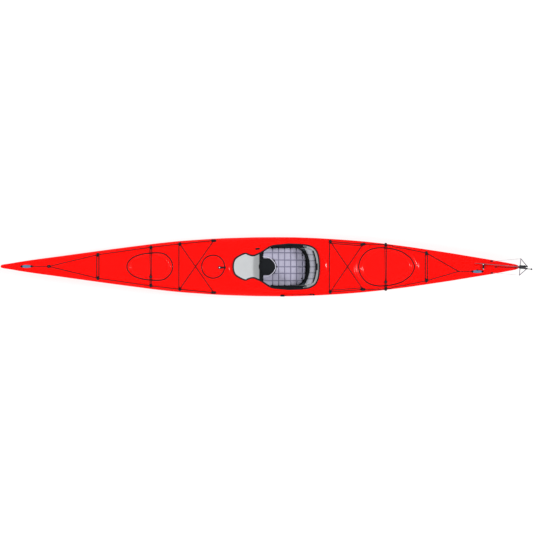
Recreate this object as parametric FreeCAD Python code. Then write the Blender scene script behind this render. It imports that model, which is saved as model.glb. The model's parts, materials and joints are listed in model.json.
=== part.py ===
"""Sea touring kayak with three hatches, a keyhole cockpit and an over-stern rudder.

Millimetres. +X runs aft, +Y to starboard, +Z up. The origin is on the keel flat,
half way between the bow and the aftmost point of the rudder head.
"""
import FreeCAD, Part
import math
import os

V = FreeCAD.Vector
fuzz = 0.001

# Hull and deck
hull_length = 5180.0
rudder_overhang = 136.0
hull_beam = 592.0
deck_peak = 348.0
shell_wall = 5.0
rim_overlap = 3.0
cut_overrun = 100.0
fit_gap = 0.3
loft_end_share = 0.035
bow_x = -(hull_length + rudder_overhang) / 2
stern_x = bow_x + hull_length

# Share of the length from the bow : share of half the beam
half_beam_shares = [(0, 0.03), (0.002, 0.05), (0.006, 0.068), (0.0174, 0.097), (0.0367, 0.155),
                    (0.0754, 0.255), (0.114, 0.345), (0.153, 0.44), (0.191, 0.531), (0.23, 0.623),
                    (0.269, 0.711), (0.307, 0.794), (0.346, 0.865), (0.385, 0.915), (0.423, 0.956),
                    (0.462, 0.981), (0.5, 0.997), (0.53, 1), (0.56, 0.998), (0.597, 0.98),
                    (0.636, 0.944), (0.674, 0.9), (0.713, 0.839), (0.752, 0.761), (0.79, 0.675),
                    (0.829, 0.575), (0.868, 0.472), (0.906, 0.362), (0.945, 0.249), (0.984, 0.125),
                    (0.995, 0.085), (1, 0.05)]
# Share of the length : share of the deck's peak height, for the keel, the seam and the deck's crown
keel_shares = [(0, 0.862), (0.004, 0.77), (0.012, 0.62), (0.03, 0.42), (0.06, 0.235), (0.1, 0.115),
               (0.16, 0.045), (0.25, 0.012), (0.35, -0.006), (0.65, -0.006), (0.78, 0.012),
               (0.86, 0.045), (0.92, 0.11), (0.955, 0.19), (0.98, 0.3), (0.992, 0.41), (1, 0.53)]
seam_shares = [(0, 0.966), (0.05, 0.925), (0.1, 0.885), (0.2, 0.816), (0.3, 0.764), (0.4, 0.724),
               (0.5, 0.698), (0.6, 0.69), (0.7, 0.695), (0.8, 0.713), (0.9, 0.747), (1, 0.793)]
crown_shares = [(0, 1.012), (0.05, 0.994), (0.1, 0.986), (0.2, 0.977), (0.3, 0.977), (0.38, 0.989),
                (0.446, 1), (0.5, 0.965), (0.56, 0.89), (0.62, 0.82), (0.7, 0.8), (0.8, 0.805),
                (0.9, 0.828), (1, 0.856)]
# Powers of the rounded sections, from a plain V at the ends to a full bilge amidships
hull_width_power = [(0, 1.6), (0.06, 1.5), (0.15, 1.8), (0.3, 2.3), (0.5, 2.6), (0.7, 2.4),
                    (0.85, 1.9), (0.94, 1.6), (1, 1.6)]
hull_depth_power = [(0, 1.5), (0.06, 1.5), (0.15, 1.8), (0.3, 2.2), (0.5, 2.4), (0.7, 2.2),
                    (0.85, 1.8), (0.94, 1.5), (1, 1.5)]
deck_width_power = [(0, 2), (0.45, 2.2), (0.6, 2.6), (1, 2.2)]
deck_rise_power = [(0, 1.6), (0.45, 1.7), (0.6, 1.9), (1, 1.8)]
station_shares = [0, 0.002, 0.006, 0.0174, 0.035, 0.06, 0.09, 0.12, 0.16, 0.2, 0.25, 0.3, 0.35,
                  0.4, 0.45, 0.5, 0.55, 0.6, 0.65, 0.7, 0.75, 0.8, 0.84, 0.88, 0.91, 0.94,
                  0.965, 0.984, 0.995, 1]
section_points = 13
outline_samples = 64
slope_steps = 2

# Cockpit coaming: share of its length from the front : share of half its width
cockpit_length = 875.0
cockpit_width = 466.0
cockpit_front_share = 0.4475
coaming_height = 22.0
coaming_lip = 13.0
coaming_lip_thickness = 4.0
coaming_wall = 5.0
coaming_gap = 2.0
flange_width = 17.0
flange_thickness = 4.0
cockpit_half_shares = [(0, 0), (0.006, 0.19), (0.03, 0.375), (0.096, 0.532), (0.152, 0.607),
                       (0.184, 0.549), (0.237, 0.502), (0.285, 0.567), (0.329, 0.648),
                       (0.382, 0.781), (0.43, 0.893), (0.482, 0.944), (0.595, 0.983),
                       (0.638, 1), (0.734, 0.991), (0.821, 0.97), (0.887, 0.918),
                       (0.939, 0.811), (0.97, 0.665), (0.992, 0.403), (1, 0)]

# Hatches
bow_hatch_length = 469.0
bow_hatch_width = 286.0
bow_hatch_front_share = 0.2429
bow_hatch_half_shares = [(0, 0), (0.026, 0.315), (0.111, 0.615), (0.22, 0.797), (0.363, 0.923),
                         (0.49, 0.972), (0.642, 1), (0.785, 0.951), (0.885, 0.755),
                         (0.962, 0.448), (1, 0)]
stern_hatch_length = 569.0
stern_hatch_width = 392.0
stern_hatch_front_share = 0.69
stern_hatch_half_shares = [(0, 0), (0.035, 0.405), (0.116, 0.728), (0.207, 0.903), (0.327, 0.99),
                           (0.439, 1), (0.59, 0.949), (0.742, 0.831), (0.842, 0.667),
                           (0.944, 0.405), (1, 0)]
day_hatch_diameter = 240.0
day_hatch_front_share = 0.387
circle_steps = 16
cover_gap = 2.5
cover_proud = 2.0
gasket_thickness = 3.0
gasket_inset = 8.0
gasket_width = 9.0
rim_flange = 14.0
rim_ledge = 22.0
pod_depth = 105.0
pod_wall = 3.0


def steady_curve(table):
    """Return a function through the table's points that never overshoots them."""
    xs = [x for x, y in table]
    ys = [y for x, y in table]
    last = len(xs) - 1
    steps = [xs[i + 1] - xs[i] for i in range(last)]
    slopes = [(ys[i + 1] - ys[i]) / steps[i] for i in range(last)]
    tangents = [slopes[0]] + [0] * (last - 1) + [slopes[-1]]
    for i in range(1, last):
        if slopes[i - 1] * slopes[i] > 0:
            before = 2 * steps[i] + steps[i - 1]
            after = steps[i] + 2 * steps[i - 1]
            tangents[i] = (before + after) / (before / slopes[i - 1] + after / slopes[i])

    def value(share):
        share = min(max(share, xs[0]), xs[-1])
        i = 0
        while i < last - 1 and share > xs[i + 1]:
            i += 1
        t = (share - xs[i]) / steps[i]
        start = (1 + 2 * t) * (1 - t) ** 2 * ys[i] + t * (1 - t) ** 2 * steps[i] * tangents[i]
        end = t * t * (3 - 2 * t) * ys[i + 1] + t * t * (t - 1) * steps[i] * tangents[i + 1]
        return start + end

    return value


half_beam_curve = steady_curve(half_beam_shares)
keel_curve = steady_curve(keel_shares)
seam_curve = steady_curve(seam_shares)
crown_curve = steady_curve(crown_shares)
hull_width_curve = steady_curve(hull_width_power)
hull_depth_curve = steady_curve(hull_depth_power)
deck_width_curve = steady_curve(deck_width_power)
deck_rise_curve = steady_curve(deck_rise_power)


def x_at(share):
    return bow_x + share * hull_length


def share_at(x):
    return (x - bow_x) / hull_length


def half_beam(share):
    return half_beam_curve(share) * hull_beam / 2


def seam_z(share):
    return seam_curve(share) * deck_peak


def section(share, inset, below, over=0):
    """Points of the hull's section (below the seam) or of the deck's, moved in by inset.

    The section's edge lies over the seam by over."""
    breadth = half_beam(share) - inset
    rim = seam_z(share) + over
    if below:
        depth = keel_curve(share) * deck_peak + inset - rim
        across = hull_width_curve(share)
        upright = hull_depth_curve(share)
    else:
        depth = crown_curve(share) * deck_peak - inset - rim
        across = deck_width_curve(share)
        upright = deck_rise_curve(share)
    points = []
    for i in range(section_points):
        turn = math.pi * i / (section_points - 1)
        side = math.copysign(abs(math.cos(turn)) ** (2 / across), math.cos(turn))
        rise = abs(math.sin(turn)) ** (2 / upright)
        if i in (0, section_points - 1):
            rise = 0
        points.append(V(x_at(share), breadth * side, rim + depth * rise))
    return points


def section_wire(points, lift):
    """Close a section with a straight line, or past the seam by lift."""
    curve = Part.BSplineCurve()
    curve.interpolate(Points=points, Parameters=[i / (len(points) - 1) for i in range(len(points))])
    first = points[0]
    last = points[-1]
    if lift == 0:
        return Part.Wire([curve.toShape(), Part.makeLine(last, first)])
    over_last = last + V(0, 0, lift)
    over_first = first + V(0, 0, lift)
    return Part.Wire([curve.toShape(), Part.makeLine(last, over_last),
                      Part.makeLine(over_last, over_first), Part.makeLine(over_first, first)])


def body_loft(inset, below, lift, over=0):
    """Solid inside the hull's or the deck's surface; inset ones stop short of the ends."""
    shares = station_shares
    if inset > 0:
        shares = [s for s in station_shares if loft_end_share - fuzz < s < 1 - loft_end_share + fuzz]
    return Part.makeLoft([section_wire(section(s, inset, below, over), lift) for s in shares], True, False)


hull_outer = body_loft(0, True, 0)
hull_inner = body_loft(shell_wall, True, 0, rim_overlap)
deck_outer = body_loft(0, False, 0)
deck_inner = body_loft(shell_wall, False, 0)
deck_outer_deep = body_loft(0, False, -deck_peak)
deck_inner_deep = body_loft(shell_wall, False, -deck_peak)


def main_surface(solid):
    """The surface of a loft's largest face."""
    return max(solid.Faces, key=lambda face: face.Area).Surface


outer_surface = main_surface(deck_outer)
inner_surface = main_surface(deck_inner)
def formula_z(x, y):
    """Height of the deck's formula, within a millimetre of its lofted face."""
    share = share_at(x)
    rim = seam_z(share)
    level = 1 - min(abs(y) / half_beam(share), 1) ** deck_width_curve(share)
    return rim + (crown_curve(share) * deck_peak - rim) * level ** (1 / deck_rise_curve(share))


def foot_on(surface, x, y):
    """Height and upward normal of a surface over a point, by steps along its tangent plane."""
    z = formula_z(x, y)
    for step in range(slope_steps):
        u, v = surface.parameter(V(x, y, z))
        foot = surface.value(u, v)
        normal = surface.normal(u, v)
        z = foot.z - (normal.x * (x - foot.x) + normal.y * (y - foot.y)) / normal.z
    return z, normal if normal.z > 0 else -normal


def surface_z(surface, x, y):
    return foot_on(surface, x, y)[0]


def deck_z(x, y):
    return surface_z(outer_surface, x, y)


def over_deck(x, y, lift):
    """Point at a distance from the deck, square to it."""
    z, normal = foot_on(outer_surface, x, y)
    return V(x, y, z) + normal * lift


def hull_inside_y(x, z):
    """Half width between the hull's inner faces at a height."""
    share = share_at(x)
    rim = seam_z(share) + rim_overlap
    depth = rim - keel_curve(share) * deck_peak - shell_wall
    down = min(max(rim - z, 0) / depth, 1)
    level = 1 - down ** hull_depth_curve(share)
    return (half_beam(share) - shell_wall) * level ** (1 / hull_width_curve(share))


def moved(shape, x, y, z):
    copy = shape.copy()
    copy.translate(V(x, y, z))
    return copy


def mirrored(shape):
    return shape.mirror(V(0, 0, 0), V(0, 1, 0))


def box(x0, x1, y0, y1, z0, z1):
    return Part.makeBox(x1 - x0, y1 - y0, z1 - z0, V(x0, y0, z0))


def rod(start, end, diameter):
    along = end - start
    return Part.makeCylinder(diameter / 2, along.Length, start, along)


def outline_curve(front_x, length, width, half_shares):
    """Closed curve in plan through a symmetric outline's points."""
    side = [V(front_x + u * length, w * width / 2, 0) for u, w in half_shares]
    other = [V(p.x, -p.y, 0) for p in reversed(side[1:-1])]
    curve = Part.BSplineCurve()
    curve.interpolate(Points=side + other, PeriodicFlag=True)
    return curve


def round_half_shares():
    """A circle as an outline's table, with its length and width both its diameter."""
    turns = [math.pi * i / circle_steps for i in range(circle_steps + 1)]
    return [((1 - math.cos(t)) / 2, abs(math.sin(t)) if 0 < t < math.pi else 0) for t in turns]


def inset_points(curve, inset):
    """Points of the outline moved inwards by inset, or outwards where inset is negative."""
    first = curve.FirstParameter
    span = curve.LastParameter - first
    points = []
    for i in range(outline_samples):
        at = first + span * i / outline_samples
        tangent = curve.tangent(at)[0]
        points.append(curve.value(at) + V(tangent.y, -tangent.x, 0) * inset)
    return points


def inset_wire(curve, inset):
    moved_curve = Part.BSplineCurve()
    moved_curve.interpolate(Points=inset_points(curve, inset), PeriodicFlag=True)
    return Part.Wire(moved_curve.toShape())


def ring(curve, corners):
    """Band round an outline. Each corner is its inset, the deck face it follows and its lift."""
    rows = []
    for inset, surface, lift in corners:
        rows.append([V(p.x, p.y, surface_z(surface, p.x, p.y) + lift)
                     for p in inset_points(curve, inset)])
    wires = [Part.makePolygon([row[i] for row in rows] + [rows[0][i]])
             for i in range(outline_samples)]
    return Part.makeLoft(wires, True, False, True)


def column(curve, inset):
    """Upright prism inside an outline, through the whole boat."""
    face = Part.Face(inset_wire(curve, inset))
    return moved(face, 0, 0, -cut_overrun).extrude(V(0, 0, 2 * deck_peak + 2 * cut_overrun))


def local_deck(front_x, length):
    """The deck's outer and inner solids near an opening, carried on down below the seam."""
    window = box(front_x - cut_overrun, front_x + length + cut_overrun, -hull_beam, hull_beam,
                 0, deck_peak + cut_overrun)
    return deck_outer_deep.common(window), deck_inner_deep.common(window)


def layer(prism, over, under):
    """Part of a prism between two copies of the deck's surface."""
    return over.cut(under).common(prism)


def raised(shape, height):
    return moved(shape, 0, 0, height)


parts = {}


def keep(name, shapes):
    """Hold a named piece, made of one or more separate solids."""
    shapes = shapes if isinstance(shapes, list) else [shapes]
    solids = [s for shape in shapes for s in shape.Solids]
    parts[name] = solids[0] if len(solids) == 1 else Part.makeCompound(solids)

# Outlines in plan
cockpit_x = x_at(cockpit_front_share)
cockpit_curve = outline_curve(cockpit_x, cockpit_length, cockpit_width, cockpit_half_shares)
bow_hatch_curve = outline_curve(x_at(bow_hatch_front_share), bow_hatch_length, bow_hatch_width,
                                bow_hatch_half_shares)
stern_hatch_curve = outline_curve(x_at(stern_hatch_front_share), stern_hatch_length,
                                  stern_hatch_width, stern_hatch_half_shares)
day_hatch_curve = outline_curve(x_at(day_hatch_front_share), day_hatch_diameter,
                                day_hatch_diameter, round_half_shares())


def make_coaming():
    """Upright wall round the cockpit with a lip on top and a bonding flange under the deck."""
    wall_face = coaming_lip - coaming_wall
    under_lip = coaming_height - coaming_lip_thickness
    top_of_flange = -2 * fit_gap
    return ring(cockpit_curve, [
        (coaming_lip, outer_surface, coaming_height), (0, outer_surface, coaming_height),
        (0, outer_surface, under_lip), (wall_face, outer_surface, under_lip),
        (wall_face, inner_surface, top_of_flange),
        (-flange_width, inner_surface, top_of_flange),
        (-flange_width, inner_surface, top_of_flange - flange_thickness),
        (coaming_lip, inner_surface, top_of_flange - flange_thickness)])


def make_hatch(name, curve, front_x, length):
    """Rim under the deck, gasket on its ledge and the cover over both."""
    outer, inner = local_deck(front_x, length)
    ledge = -fit_gap
    far_inset = gasket_inset + gasket_width
    keep(name + "_hatch_rim", ring(curve, [
        (rim_ledge, inner_surface, ledge), (-rim_flange, inner_surface, ledge),
        (-rim_flange, inner_surface, ledge - flange_thickness),
        (rim_ledge, inner_surface, ledge - flange_thickness)]))
    keep(name + "_hatch_gasket", ring(curve, [
        (far_inset, inner_surface, gasket_thickness), (gasket_inset, inner_surface, gasket_thickness),
        (gasket_inset, inner_surface, 0), (far_inset, inner_surface, 0)]))
    cover = column(curve, cover_gap).common(raised(outer, cover_proud))
    cover = cover.cut(raised(inner, gasket_thickness + fit_gap))
    keep(name + "_hatch_cover", max(cover.Solids, key=lambda solid: solid.CenterOfMass.z))


def make_pod():
    """Shallow bucket that hangs from the day hatch's rim."""
    radius = day_hatch_diameter / 2 - rim_ledge
    centre_x = x_at(day_hatch_front_share) + day_hatch_diameter / 2
    floor_z = deck_z(centre_x, 0) - pod_depth
    outer = Part.makeCylinder(radius + pod_wall, deck_peak, V(centre_x, 0, floor_z))
    inner = Part.makeCylinder(radius, deck_peak, V(centre_x, 0, floor_z + pod_wall))
    return outer.cut(inner).common(raised(deck_inner, -flange_thickness - 2 * fit_gap))


# Bulkheads and seam tape
bow_bulkhead_share = 0.365
stern_bulkhead_share = 0.632
bulkhead_thickness = 12.0
bulkhead_gap = 0.6
tape_thickness = 2.0
tape_height = 25.0


deck_cavity = body_loft(shell_wall, False, -rim_overlap)


def make_bulkhead(share):
    """Plate across the boat, bonded just inside hull and deck."""
    inset = shell_wall + bulkhead_gap
    plates = []
    for place in (share, share + bulkhead_thickness / hull_length):
        edges = []
        for below in (True, False):
            points = section(place, inset, below)
            curve = Part.BSplineCurve()
            curve.interpolate(Points=points)
            edges.append(curve.toShape())
        plates.append(Part.Wire(edges))
    return Part.makeLoft(plates, True, True)


def make_tapes():
    """Bonding strips along the inside of the seam, below it."""
    inside = body_loft(shell_wall + tape_thickness, True, 0, rim_overlap)
    shares = [s for s in station_shares if loft_end_share < s < 1 - loft_end_share]
    keepers = []
    for share in shares:
        top = seam_z(share)
        corners = [V(x_at(share), y, z) for y, z in
                   [(-hull_beam, top), (hull_beam, top), (hull_beam, top - tape_height),
                    (-hull_beam, top - tape_height)]]
        keepers.append(Part.makePolygon(corners + corners[:1]))
    band = Part.makeLoft(keepers, True, False)
    ring = band.common(hull_inner).cut(inside)
    forward = box(bow_x, x_at(bow_bulkhead_share), -hull_beam, hull_beam, 0, deck_peak)
    aft = box(x_at(stern_bulkhead_share) + bulkhead_thickness, stern_x, -hull_beam, hull_beam,
              0, deck_peak)
    middle = box(x_at(bow_bulkhead_share) + bulkhead_thickness, x_at(stern_bulkhead_share),
                 -hull_beam, hull_beam, 0, deck_peak)
    return [ring.common(room) for room in (forward, middle, aft)]


below_keel = box(bow_x - cut_overrun, stern_x + cut_overrun, -hull_beam, hull_beam, -cut_overrun, 0)
hull_shell = hull_outer.cut(hull_inner).cut(below_keel)
deck_shell = deck_outer.cut(deck_cavity)
deck_shell = deck_shell.cut([column(cockpit_curve, coaming_lip - coaming_wall - coaming_gap),
                             column(bow_hatch_curve, 0), column(stern_hatch_curve, 0),
                             column(day_hatch_curve, 0)])
keep("cockpit_coaming", make_coaming())
make_hatch("bow", bow_hatch_curve, x_at(bow_hatch_front_share), bow_hatch_length)
make_hatch("stern", stern_hatch_curve, x_at(stern_hatch_front_share), stern_hatch_length)
make_hatch("day", day_hatch_curve, x_at(day_hatch_front_share), day_hatch_diameter)
keep("day_hatch_pod", make_pod())
keep("bow_bulkhead", make_bulkhead(bow_bulkhead_share))
keep("stern_bulkhead", make_bulkhead(stern_bulkhead_share))
keep("seam_tapes", make_tapes())

# Seat, measured from the cockpit's front
pan_front = 268.0
pan_length = 470.0
pan_width = 372.0
pan_level = 48.0
pan_thickness = 5.0
pan_corner = 60.0
base_rib_width = 25.0
base_rib_spread = 180.0
base_rib_length = 360.0
hanger_front = 380.0
hanger_length = 230.0
hanger_thickness = 5.0
hanger_bend_level = 130.0
hanger_foot = 6.0
hip_pad_length = 330.0
hip_pad_thickness = 20.0
hip_pad_low = 140.0
hip_pad_high = 225.0
pad_front = 297.0
pad_length = 440.0
pad_width = 366.0
pad_thickness = 30.0
pad_edge = 14.0
pad_rear_width_share = 0.44
tongue_width = 170.0
tongue_length = 130.0
tongue_gap = 3.0
block_length = 34.0
block_width = 286.0
block_height = 24.0
block_corner = 8.0
strap_hole = 14.0
strap_hole_spread = 94.0

pan_x = cockpit_x + pan_front
pad_x = cockpit_x + pad_front
pan_top = pan_level + pan_thickness
hip_y = cockpit_width / 2 - coaming_lip


def rounded_plate(x0, x1, width, z0, z1, corner):
    plate = box(x0, x1, -width / 2, width / 2, z0, z1)
    upright = [edge for edge in plate.Edges
               if abs(edge.Vertexes[0].Z - edge.Vertexes[1].Z) > (z1 - z0) / 2]
    return plate.makeFillet(corner, upright)


def make_base_ribs():
    """Two foam ribs that carry the pan on the hull's floor."""
    start = pan_x + (pan_length - base_rib_length) / 2
    rib = box(start, start + base_rib_length, (base_rib_spread - base_rib_width) / 2,
              (base_rib_spread + base_rib_width) / 2, 0, pan_level).common(hull_inner)
    return [rib, mirrored(rib)]


def make_hanger():
    """Side plate from the pan's edge up to the coaming's flange."""
    side = pan_width / 2
    profile = [(side, pan_level), (side, pan_top), (hip_y, hanger_bend_level), (hip_y, deck_peak),
               (hip_y + hanger_thickness, deck_peak), (hip_y + hanger_thickness, hanger_bend_level),
               (side + hanger_foot, pan_level), (side, pan_level)]
    start = cockpit_x + hanger_front
    face = Part.Face(Part.makePolygon([V(start, y, z) for y, z in profile]))
    plate = face.extrude(V(hanger_length, 0, 0))
    return plate.common(raised(deck_inner_deep, -flange_thickness - 5 * fit_gap))


def make_hip_pad():
    start = cockpit_x + hanger_front
    pad = box(start, start + hip_pad_length, hip_y - fit_gap - hip_pad_thickness, hip_y - fit_gap,
              hip_pad_low, hip_pad_high)
    return pad.makeFillet(hip_pad_thickness / 3, pad.Edges)


def pad_outline(shrink):
    """Half of the seat pad's plan: two front lobes, straight sides and a round-cornered back."""
    front = pad_x + shrink
    back = pad_x + pad_length - shrink
    side = pad_width / 2 - shrink
    rear = pad_width * pad_rear_width_share - shrink
    return [(front + pad_edge * 2, 0), (front, side - pad_edge * 5),
            (front + pad_edge * 2, side - pad_edge), (front + pad_edge * 7, side),
            (back - pad_edge * 6, side), (back - pad_edge * 2, rear - pad_edge), (back, 0)]


def make_tongue(clear):
    """Rounded tongue of the front bar, or the larger space that the pad leaves for it."""
    low = pan_top + fit_gap
    tip = pan_x + block_length + tongue_length - tongue_width / 2
    half = tongue_width / 2 + clear
    tongue = box(pan_x + block_length / 2, tip, -half, half, low, low + block_height)
    nose = Part.makeCylinder(half, block_height, V(tip, 0, low))
    return tongue.fuse(nose)


def make_pad():
    """Crowned cushion lofted through three outlines, with a notch for the tongue."""
    levels = [(pad_edge / 2, pan_top + fit_gap), (0, pan_top + pad_thickness / 2),
              (pad_edge / 2, pan_top + pad_thickness)]
    wires = []
    for shrink, z in levels:
        half = pad_outline(shrink)
        right = [V(x, y, z) for x, y in half]
        left = [V(x, -y, z) for x, y in reversed(half[1:-1])]
        curve = Part.BSplineCurve()
        curve.interpolate(Points=right + left, PeriodicFlag=True)
        wires.append(Part.Wire(curve.toShape()))
    pad = Part.makeLoft(wires, True, False)
    window = box(pan_x + block_length + tongue_gap, pad_x + 2 * pad_length, -pad_width / 2,
                 pad_width / 2, 0, deck_peak)
    notch = make_tongue(tongue_gap)
    over = moved(notch, 0, 0, pad_thickness - block_height)
    return pad.common(window).cut([notch, over])


def make_front_block():
    """Front bar of the seat with its rounded tongue and two strap holes."""
    low = pan_top + fit_gap
    bar = rounded_plate(pan_x, pan_x + block_length, block_width, low, low + block_height,
                        block_corner)
    block = bar.fuse(make_tongue(0)).removeSplitter()
    for side in (-1, 1):
        block = block.cut(Part.makeCylinder(strap_hole / 2, block_height,
                                            V(pan_x + block_length / 2,
                                              side * strap_hole_spread / 2, low)))
    return block


keep("seat_base_ribs", make_base_ribs())
keep("seat_pan", rounded_plate(pan_x, pan_x + pan_length, pan_width, pan_level, pan_top,
                               pan_corner))
hanger = make_hanger()
keep("seat_hangers", [hanger, mirrored(hanger)])
hip_pad = make_hip_pad()
keep("hip_pads", [hip_pad, mirrored(hip_pad)])
keep("seat_pad", make_pad())
keep("seat_front_block", make_front_block())

# Back rest, on two pins through the hangers
rest_pivot = 692.0
rest_pivot_level = 100.0
rest_pin = 8.0
rest_pin_gap = 0.05
rest_half_width = 184.0
rest_arm_width = 8.0
rest_arm_depth = 24.0
rest_sag = 60.0
frame_front = 58.0
frame_depth = 25.0
frame_height = 30.0
rest_pad_front = 88.0
rest_pad_depth = 50.0
rest_pad_high = 262.0
rest_shell_front = 142.0
rest_shell_depth = 9.0
rest_shell_half_width = 160.0
rest_tab_width = 66.0
rest_tab_depth = 14.0
rest_tab_height = 40.0
strap_front = 25.0
strap_width = 25.0
strap_thickness = 2.0
strap_spread = 30.0

rest_x = cockpit_x + rest_pivot
arc_radius = (rest_half_width ** 2 + rest_sag ** 2) / (2 * rest_sag)


def crescent(front, depth, low, high, half_width):
    """Upright band bowed aft, its front face at front behind the pivot on the centreline."""
    centre = V(rest_x + frame_front - arc_radius, 0, low)
    height = high - low
    radius = arc_radius + front - frame_front
    band = Part.makeCylinder(radius + depth, height, centre)
    band = band.cut(Part.makeCylinder(radius, height, centre))
    window = box(rest_x - hull_beam, rest_x + hull_beam, -half_width, half_width, low, high)
    ahead = box(centre.x, rest_x + hull_beam, -hull_beam, hull_beam, low, high)
    return band.common(window).common(ahead)


rest_foot_level = rest_pivot_level + frame_height / 2 - rest_arm_width


def make_rest_frame():
    """Lower band with an arm at each end that holds the pin's bore."""
    low = rest_pivot_level - frame_height / 2
    high = rest_foot_level
    band = crescent(frame_front, frame_depth, low, high, rest_half_width)
    end_x = rest_x + frame_front - rest_sag + frame_depth
    arm = box(rest_x - rest_arm_depth / 2, end_x, rest_half_width - rest_arm_width,
              rest_half_width, low, high)
    frame = band.fuse([arm, mirrored(arm)])
    bore = rod(V(rest_x, -hull_beam, rest_pivot_level), V(rest_x, hull_beam, rest_pivot_level),
               rest_pin + 2 * rest_pin_gap)
    return frame.cut(bore)


def make_rest_shell():
    """Back plate behind the pad, standing on the frame, with its pull tab."""
    low = rest_foot_level
    plate = crescent(rest_shell_front, rest_shell_depth, low, rest_pad_high, rest_shell_half_width)
    foot = crescent(frame_front, rest_shell_front + rest_shell_depth - frame_front, low,
                    low + rest_shell_depth, rest_shell_half_width)
    tab_x = rest_x + rest_shell_front + rest_shell_depth / 2
    tab = box(tab_x, tab_x + rest_tab_depth, -rest_tab_width / 2, rest_tab_width / 2,
              rest_pad_high - rest_tab_height, rest_pad_high)
    return plate.fuse([foot, tab])


def make_rest_pins():
    """Pins from the hangers into the arms' bores."""
    pin = rod(V(rest_x, rest_half_width - rest_arm_width, rest_pivot_level),
              V(rest_x, hip_y + hanger_thickness, rest_pivot_level), rest_pin)
    plate = box(cockpit_x + hanger_front + hanger_length, rest_x + rest_arm_depth, hip_y,
                hip_y + hanger_thickness, rest_pivot_level - frame_height / 2,
                rest_pivot_level + frame_height)
    pin = pin.fuse(plate)
    return [pin, mirrored(pin)]


def make_rest_straps():
    """Webbing that leans out from the ends of the back rest to the coaming's flange."""
    x0 = rest_x + strap_front
    near = rest_half_width + 2 * fit_gap
    profile = [(near, rest_pivot_level), (near + strap_thickness, rest_pivot_level),
               (near + strap_spread + strap_thickness, deck_peak), (near + strap_spread, deck_peak),
               (near, rest_pivot_level)]
    face = Part.Face(Part.makePolygon([V(x0, y, z) for y, z in profile]))
    strap = face.extrude(V(strap_width, 0, 0))
    strap = strap.common(raised(deck_inner_deep, -flange_thickness - 3 * fit_gap))
    return [strap, mirrored(strap)]


keep("backrest_frame", make_rest_frame())
keep("backrest_pad", crescent(rest_pad_front, rest_pad_depth,
                              rest_foot_level + rest_shell_depth + fit_gap, rest_pad_high,
                              rest_half_width - rest_arm_width))
keep("backrest_shell", make_rest_shell())
keep("backrest_pins", make_rest_pins())

# Thigh pads, foot rails and pedals
thigh_front = 70.0
thigh_length = 170.0
thigh_inner = 160.0
thigh_outer = 235.0
thigh_thickness = 12.0
rail_front_share = 0.372
rail_length = 300.0
rail_level = 105.0
rail_height = 30.0
rail_depth = 12.0
pedal_share = 0.4
pedal_width = 88.0
pedal_height = 116.0
pedal_thickness = 10.0
shoe_length = 60.0
shoe_depth = 12.0


def make_thigh_pad():
    start = cockpit_x + thigh_front
    prism = box(start, start + thigh_length, thigh_inner, thigh_outer, 0, deck_peak)
    return prism.common(deck_inner_deep).cut(raised(deck_inner_deep, -thigh_thickness))


rail_x = x_at(rail_front_share)
rail_y = hull_inside_y(rail_x, rail_level) - rail_depth


def make_rail():
    """Straight inner face, outer face flush with the hull's side."""
    rail = box(rail_x, rail_x + rail_length, rail_y, hull_beam / 2, rail_level,
               rail_level + rail_height)
    return rail.common(hull_inner)


def make_pedal():
    """Foot plate on a shoe that runs along the rail."""
    x = x_at(pedal_share)
    inner_face = rail_y - fit_gap
    shoe = box(x - shoe_length / 2, x + shoe_length / 2, inner_face - shoe_depth, inner_face,
               rail_level, rail_level + rail_height)
    plate = box(x, x + pedal_thickness, inner_face - pedal_width, inner_face - shoe_depth / 2,
                rail_level, rail_level + pedal_height)
    plate = plate.makeFillet(pedal_thickness / 3, plate.Edges)
    return shoe.fuse(plate)


thigh_pad = make_thigh_pad()
keep("thigh_pads", [thigh_pad, mirrored(thigh_pad)])
rail = make_rail()
keep("foot_rails", [rail, mirrored(rail)])
pedal = make_pedal()
keep("pedal_starboard", pedal)
keep("pedal_port", mirrored(pedal))
keep("backrest_straps", make_rest_straps())

# Deck fittings: share of the length and share of the half beam of each pair
fitting_length = 34.0
fitting_width = 24.0
fitting_height = 15.0
long_fitting_length = 45.0
reach_of_fitting = 2 * long_fitting_length
screw_head = 9.0
screw_head_height = 2.5
screw_shank = 4.0
screw_length = 20.0
screw_gap = 0.2
eye_share = 0.0935
eye_diameter = 33.0
eye_bore = 13.0
eye_height = 12.0
bow_pair = (0.1878, 0.745)
bow_hatch_pair = (0.29, 0.845)
fore_pair = (0.3459, 0.872)
fore_long_pair = (0.4112, 0.918)
aft_pair = (0.6363, 0.898)
aft_long_pair = (0.6995, 0.884)
stern_hatch_pair = (0.7434, 0.95)
stern_pair = (0.822, 0.78)
fore_pairs = [(bow_pair, fitting_length), (bow_hatch_pair, fitting_length),
              (fore_pair, fitting_length), (fore_long_pair, long_fitting_length)]
aft_pairs = [(aft_pair, fitting_length), (aft_long_pair, long_fitting_length),
             (stern_hatch_pair, fitting_length), (stern_pair, fitting_length)]
slot_share = 0.4958
slot_offset = 178.0
slot_length = 46.0
slot_width = 14.0
slot_height = 5.0
slot_turn = -8.0

# Lines and bungees
line_diameter = 6.0
line_lift = 7.0
line_steps = 4
cross_steps = 16
sag_room = 1.5
knot_diameter = 16.0
bungee_spacing = 18.0
apex_share = 0.8841
stern_line_offset = -44.0
toggle_length = 98.0
toggle_width = 30.0
toggle_height = 24.0
toggle_cap = 12.0
toggle_bore = 6.4
bow_toggle_share = 0.0506
stern_toggle_share = 0.9204
hook_diameter = 30.0
hook_gap = 0.5
bow_hook_offset = -102.0
stern_hook_offset = -151.0
tie_spread = 19.0


def deck_point(place, side=1, lift=0):
    """Point over the deck for a place given in shares."""
    share, across = place
    return over_deck(x_at(share), side * across * half_beam(share), lift)


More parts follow.
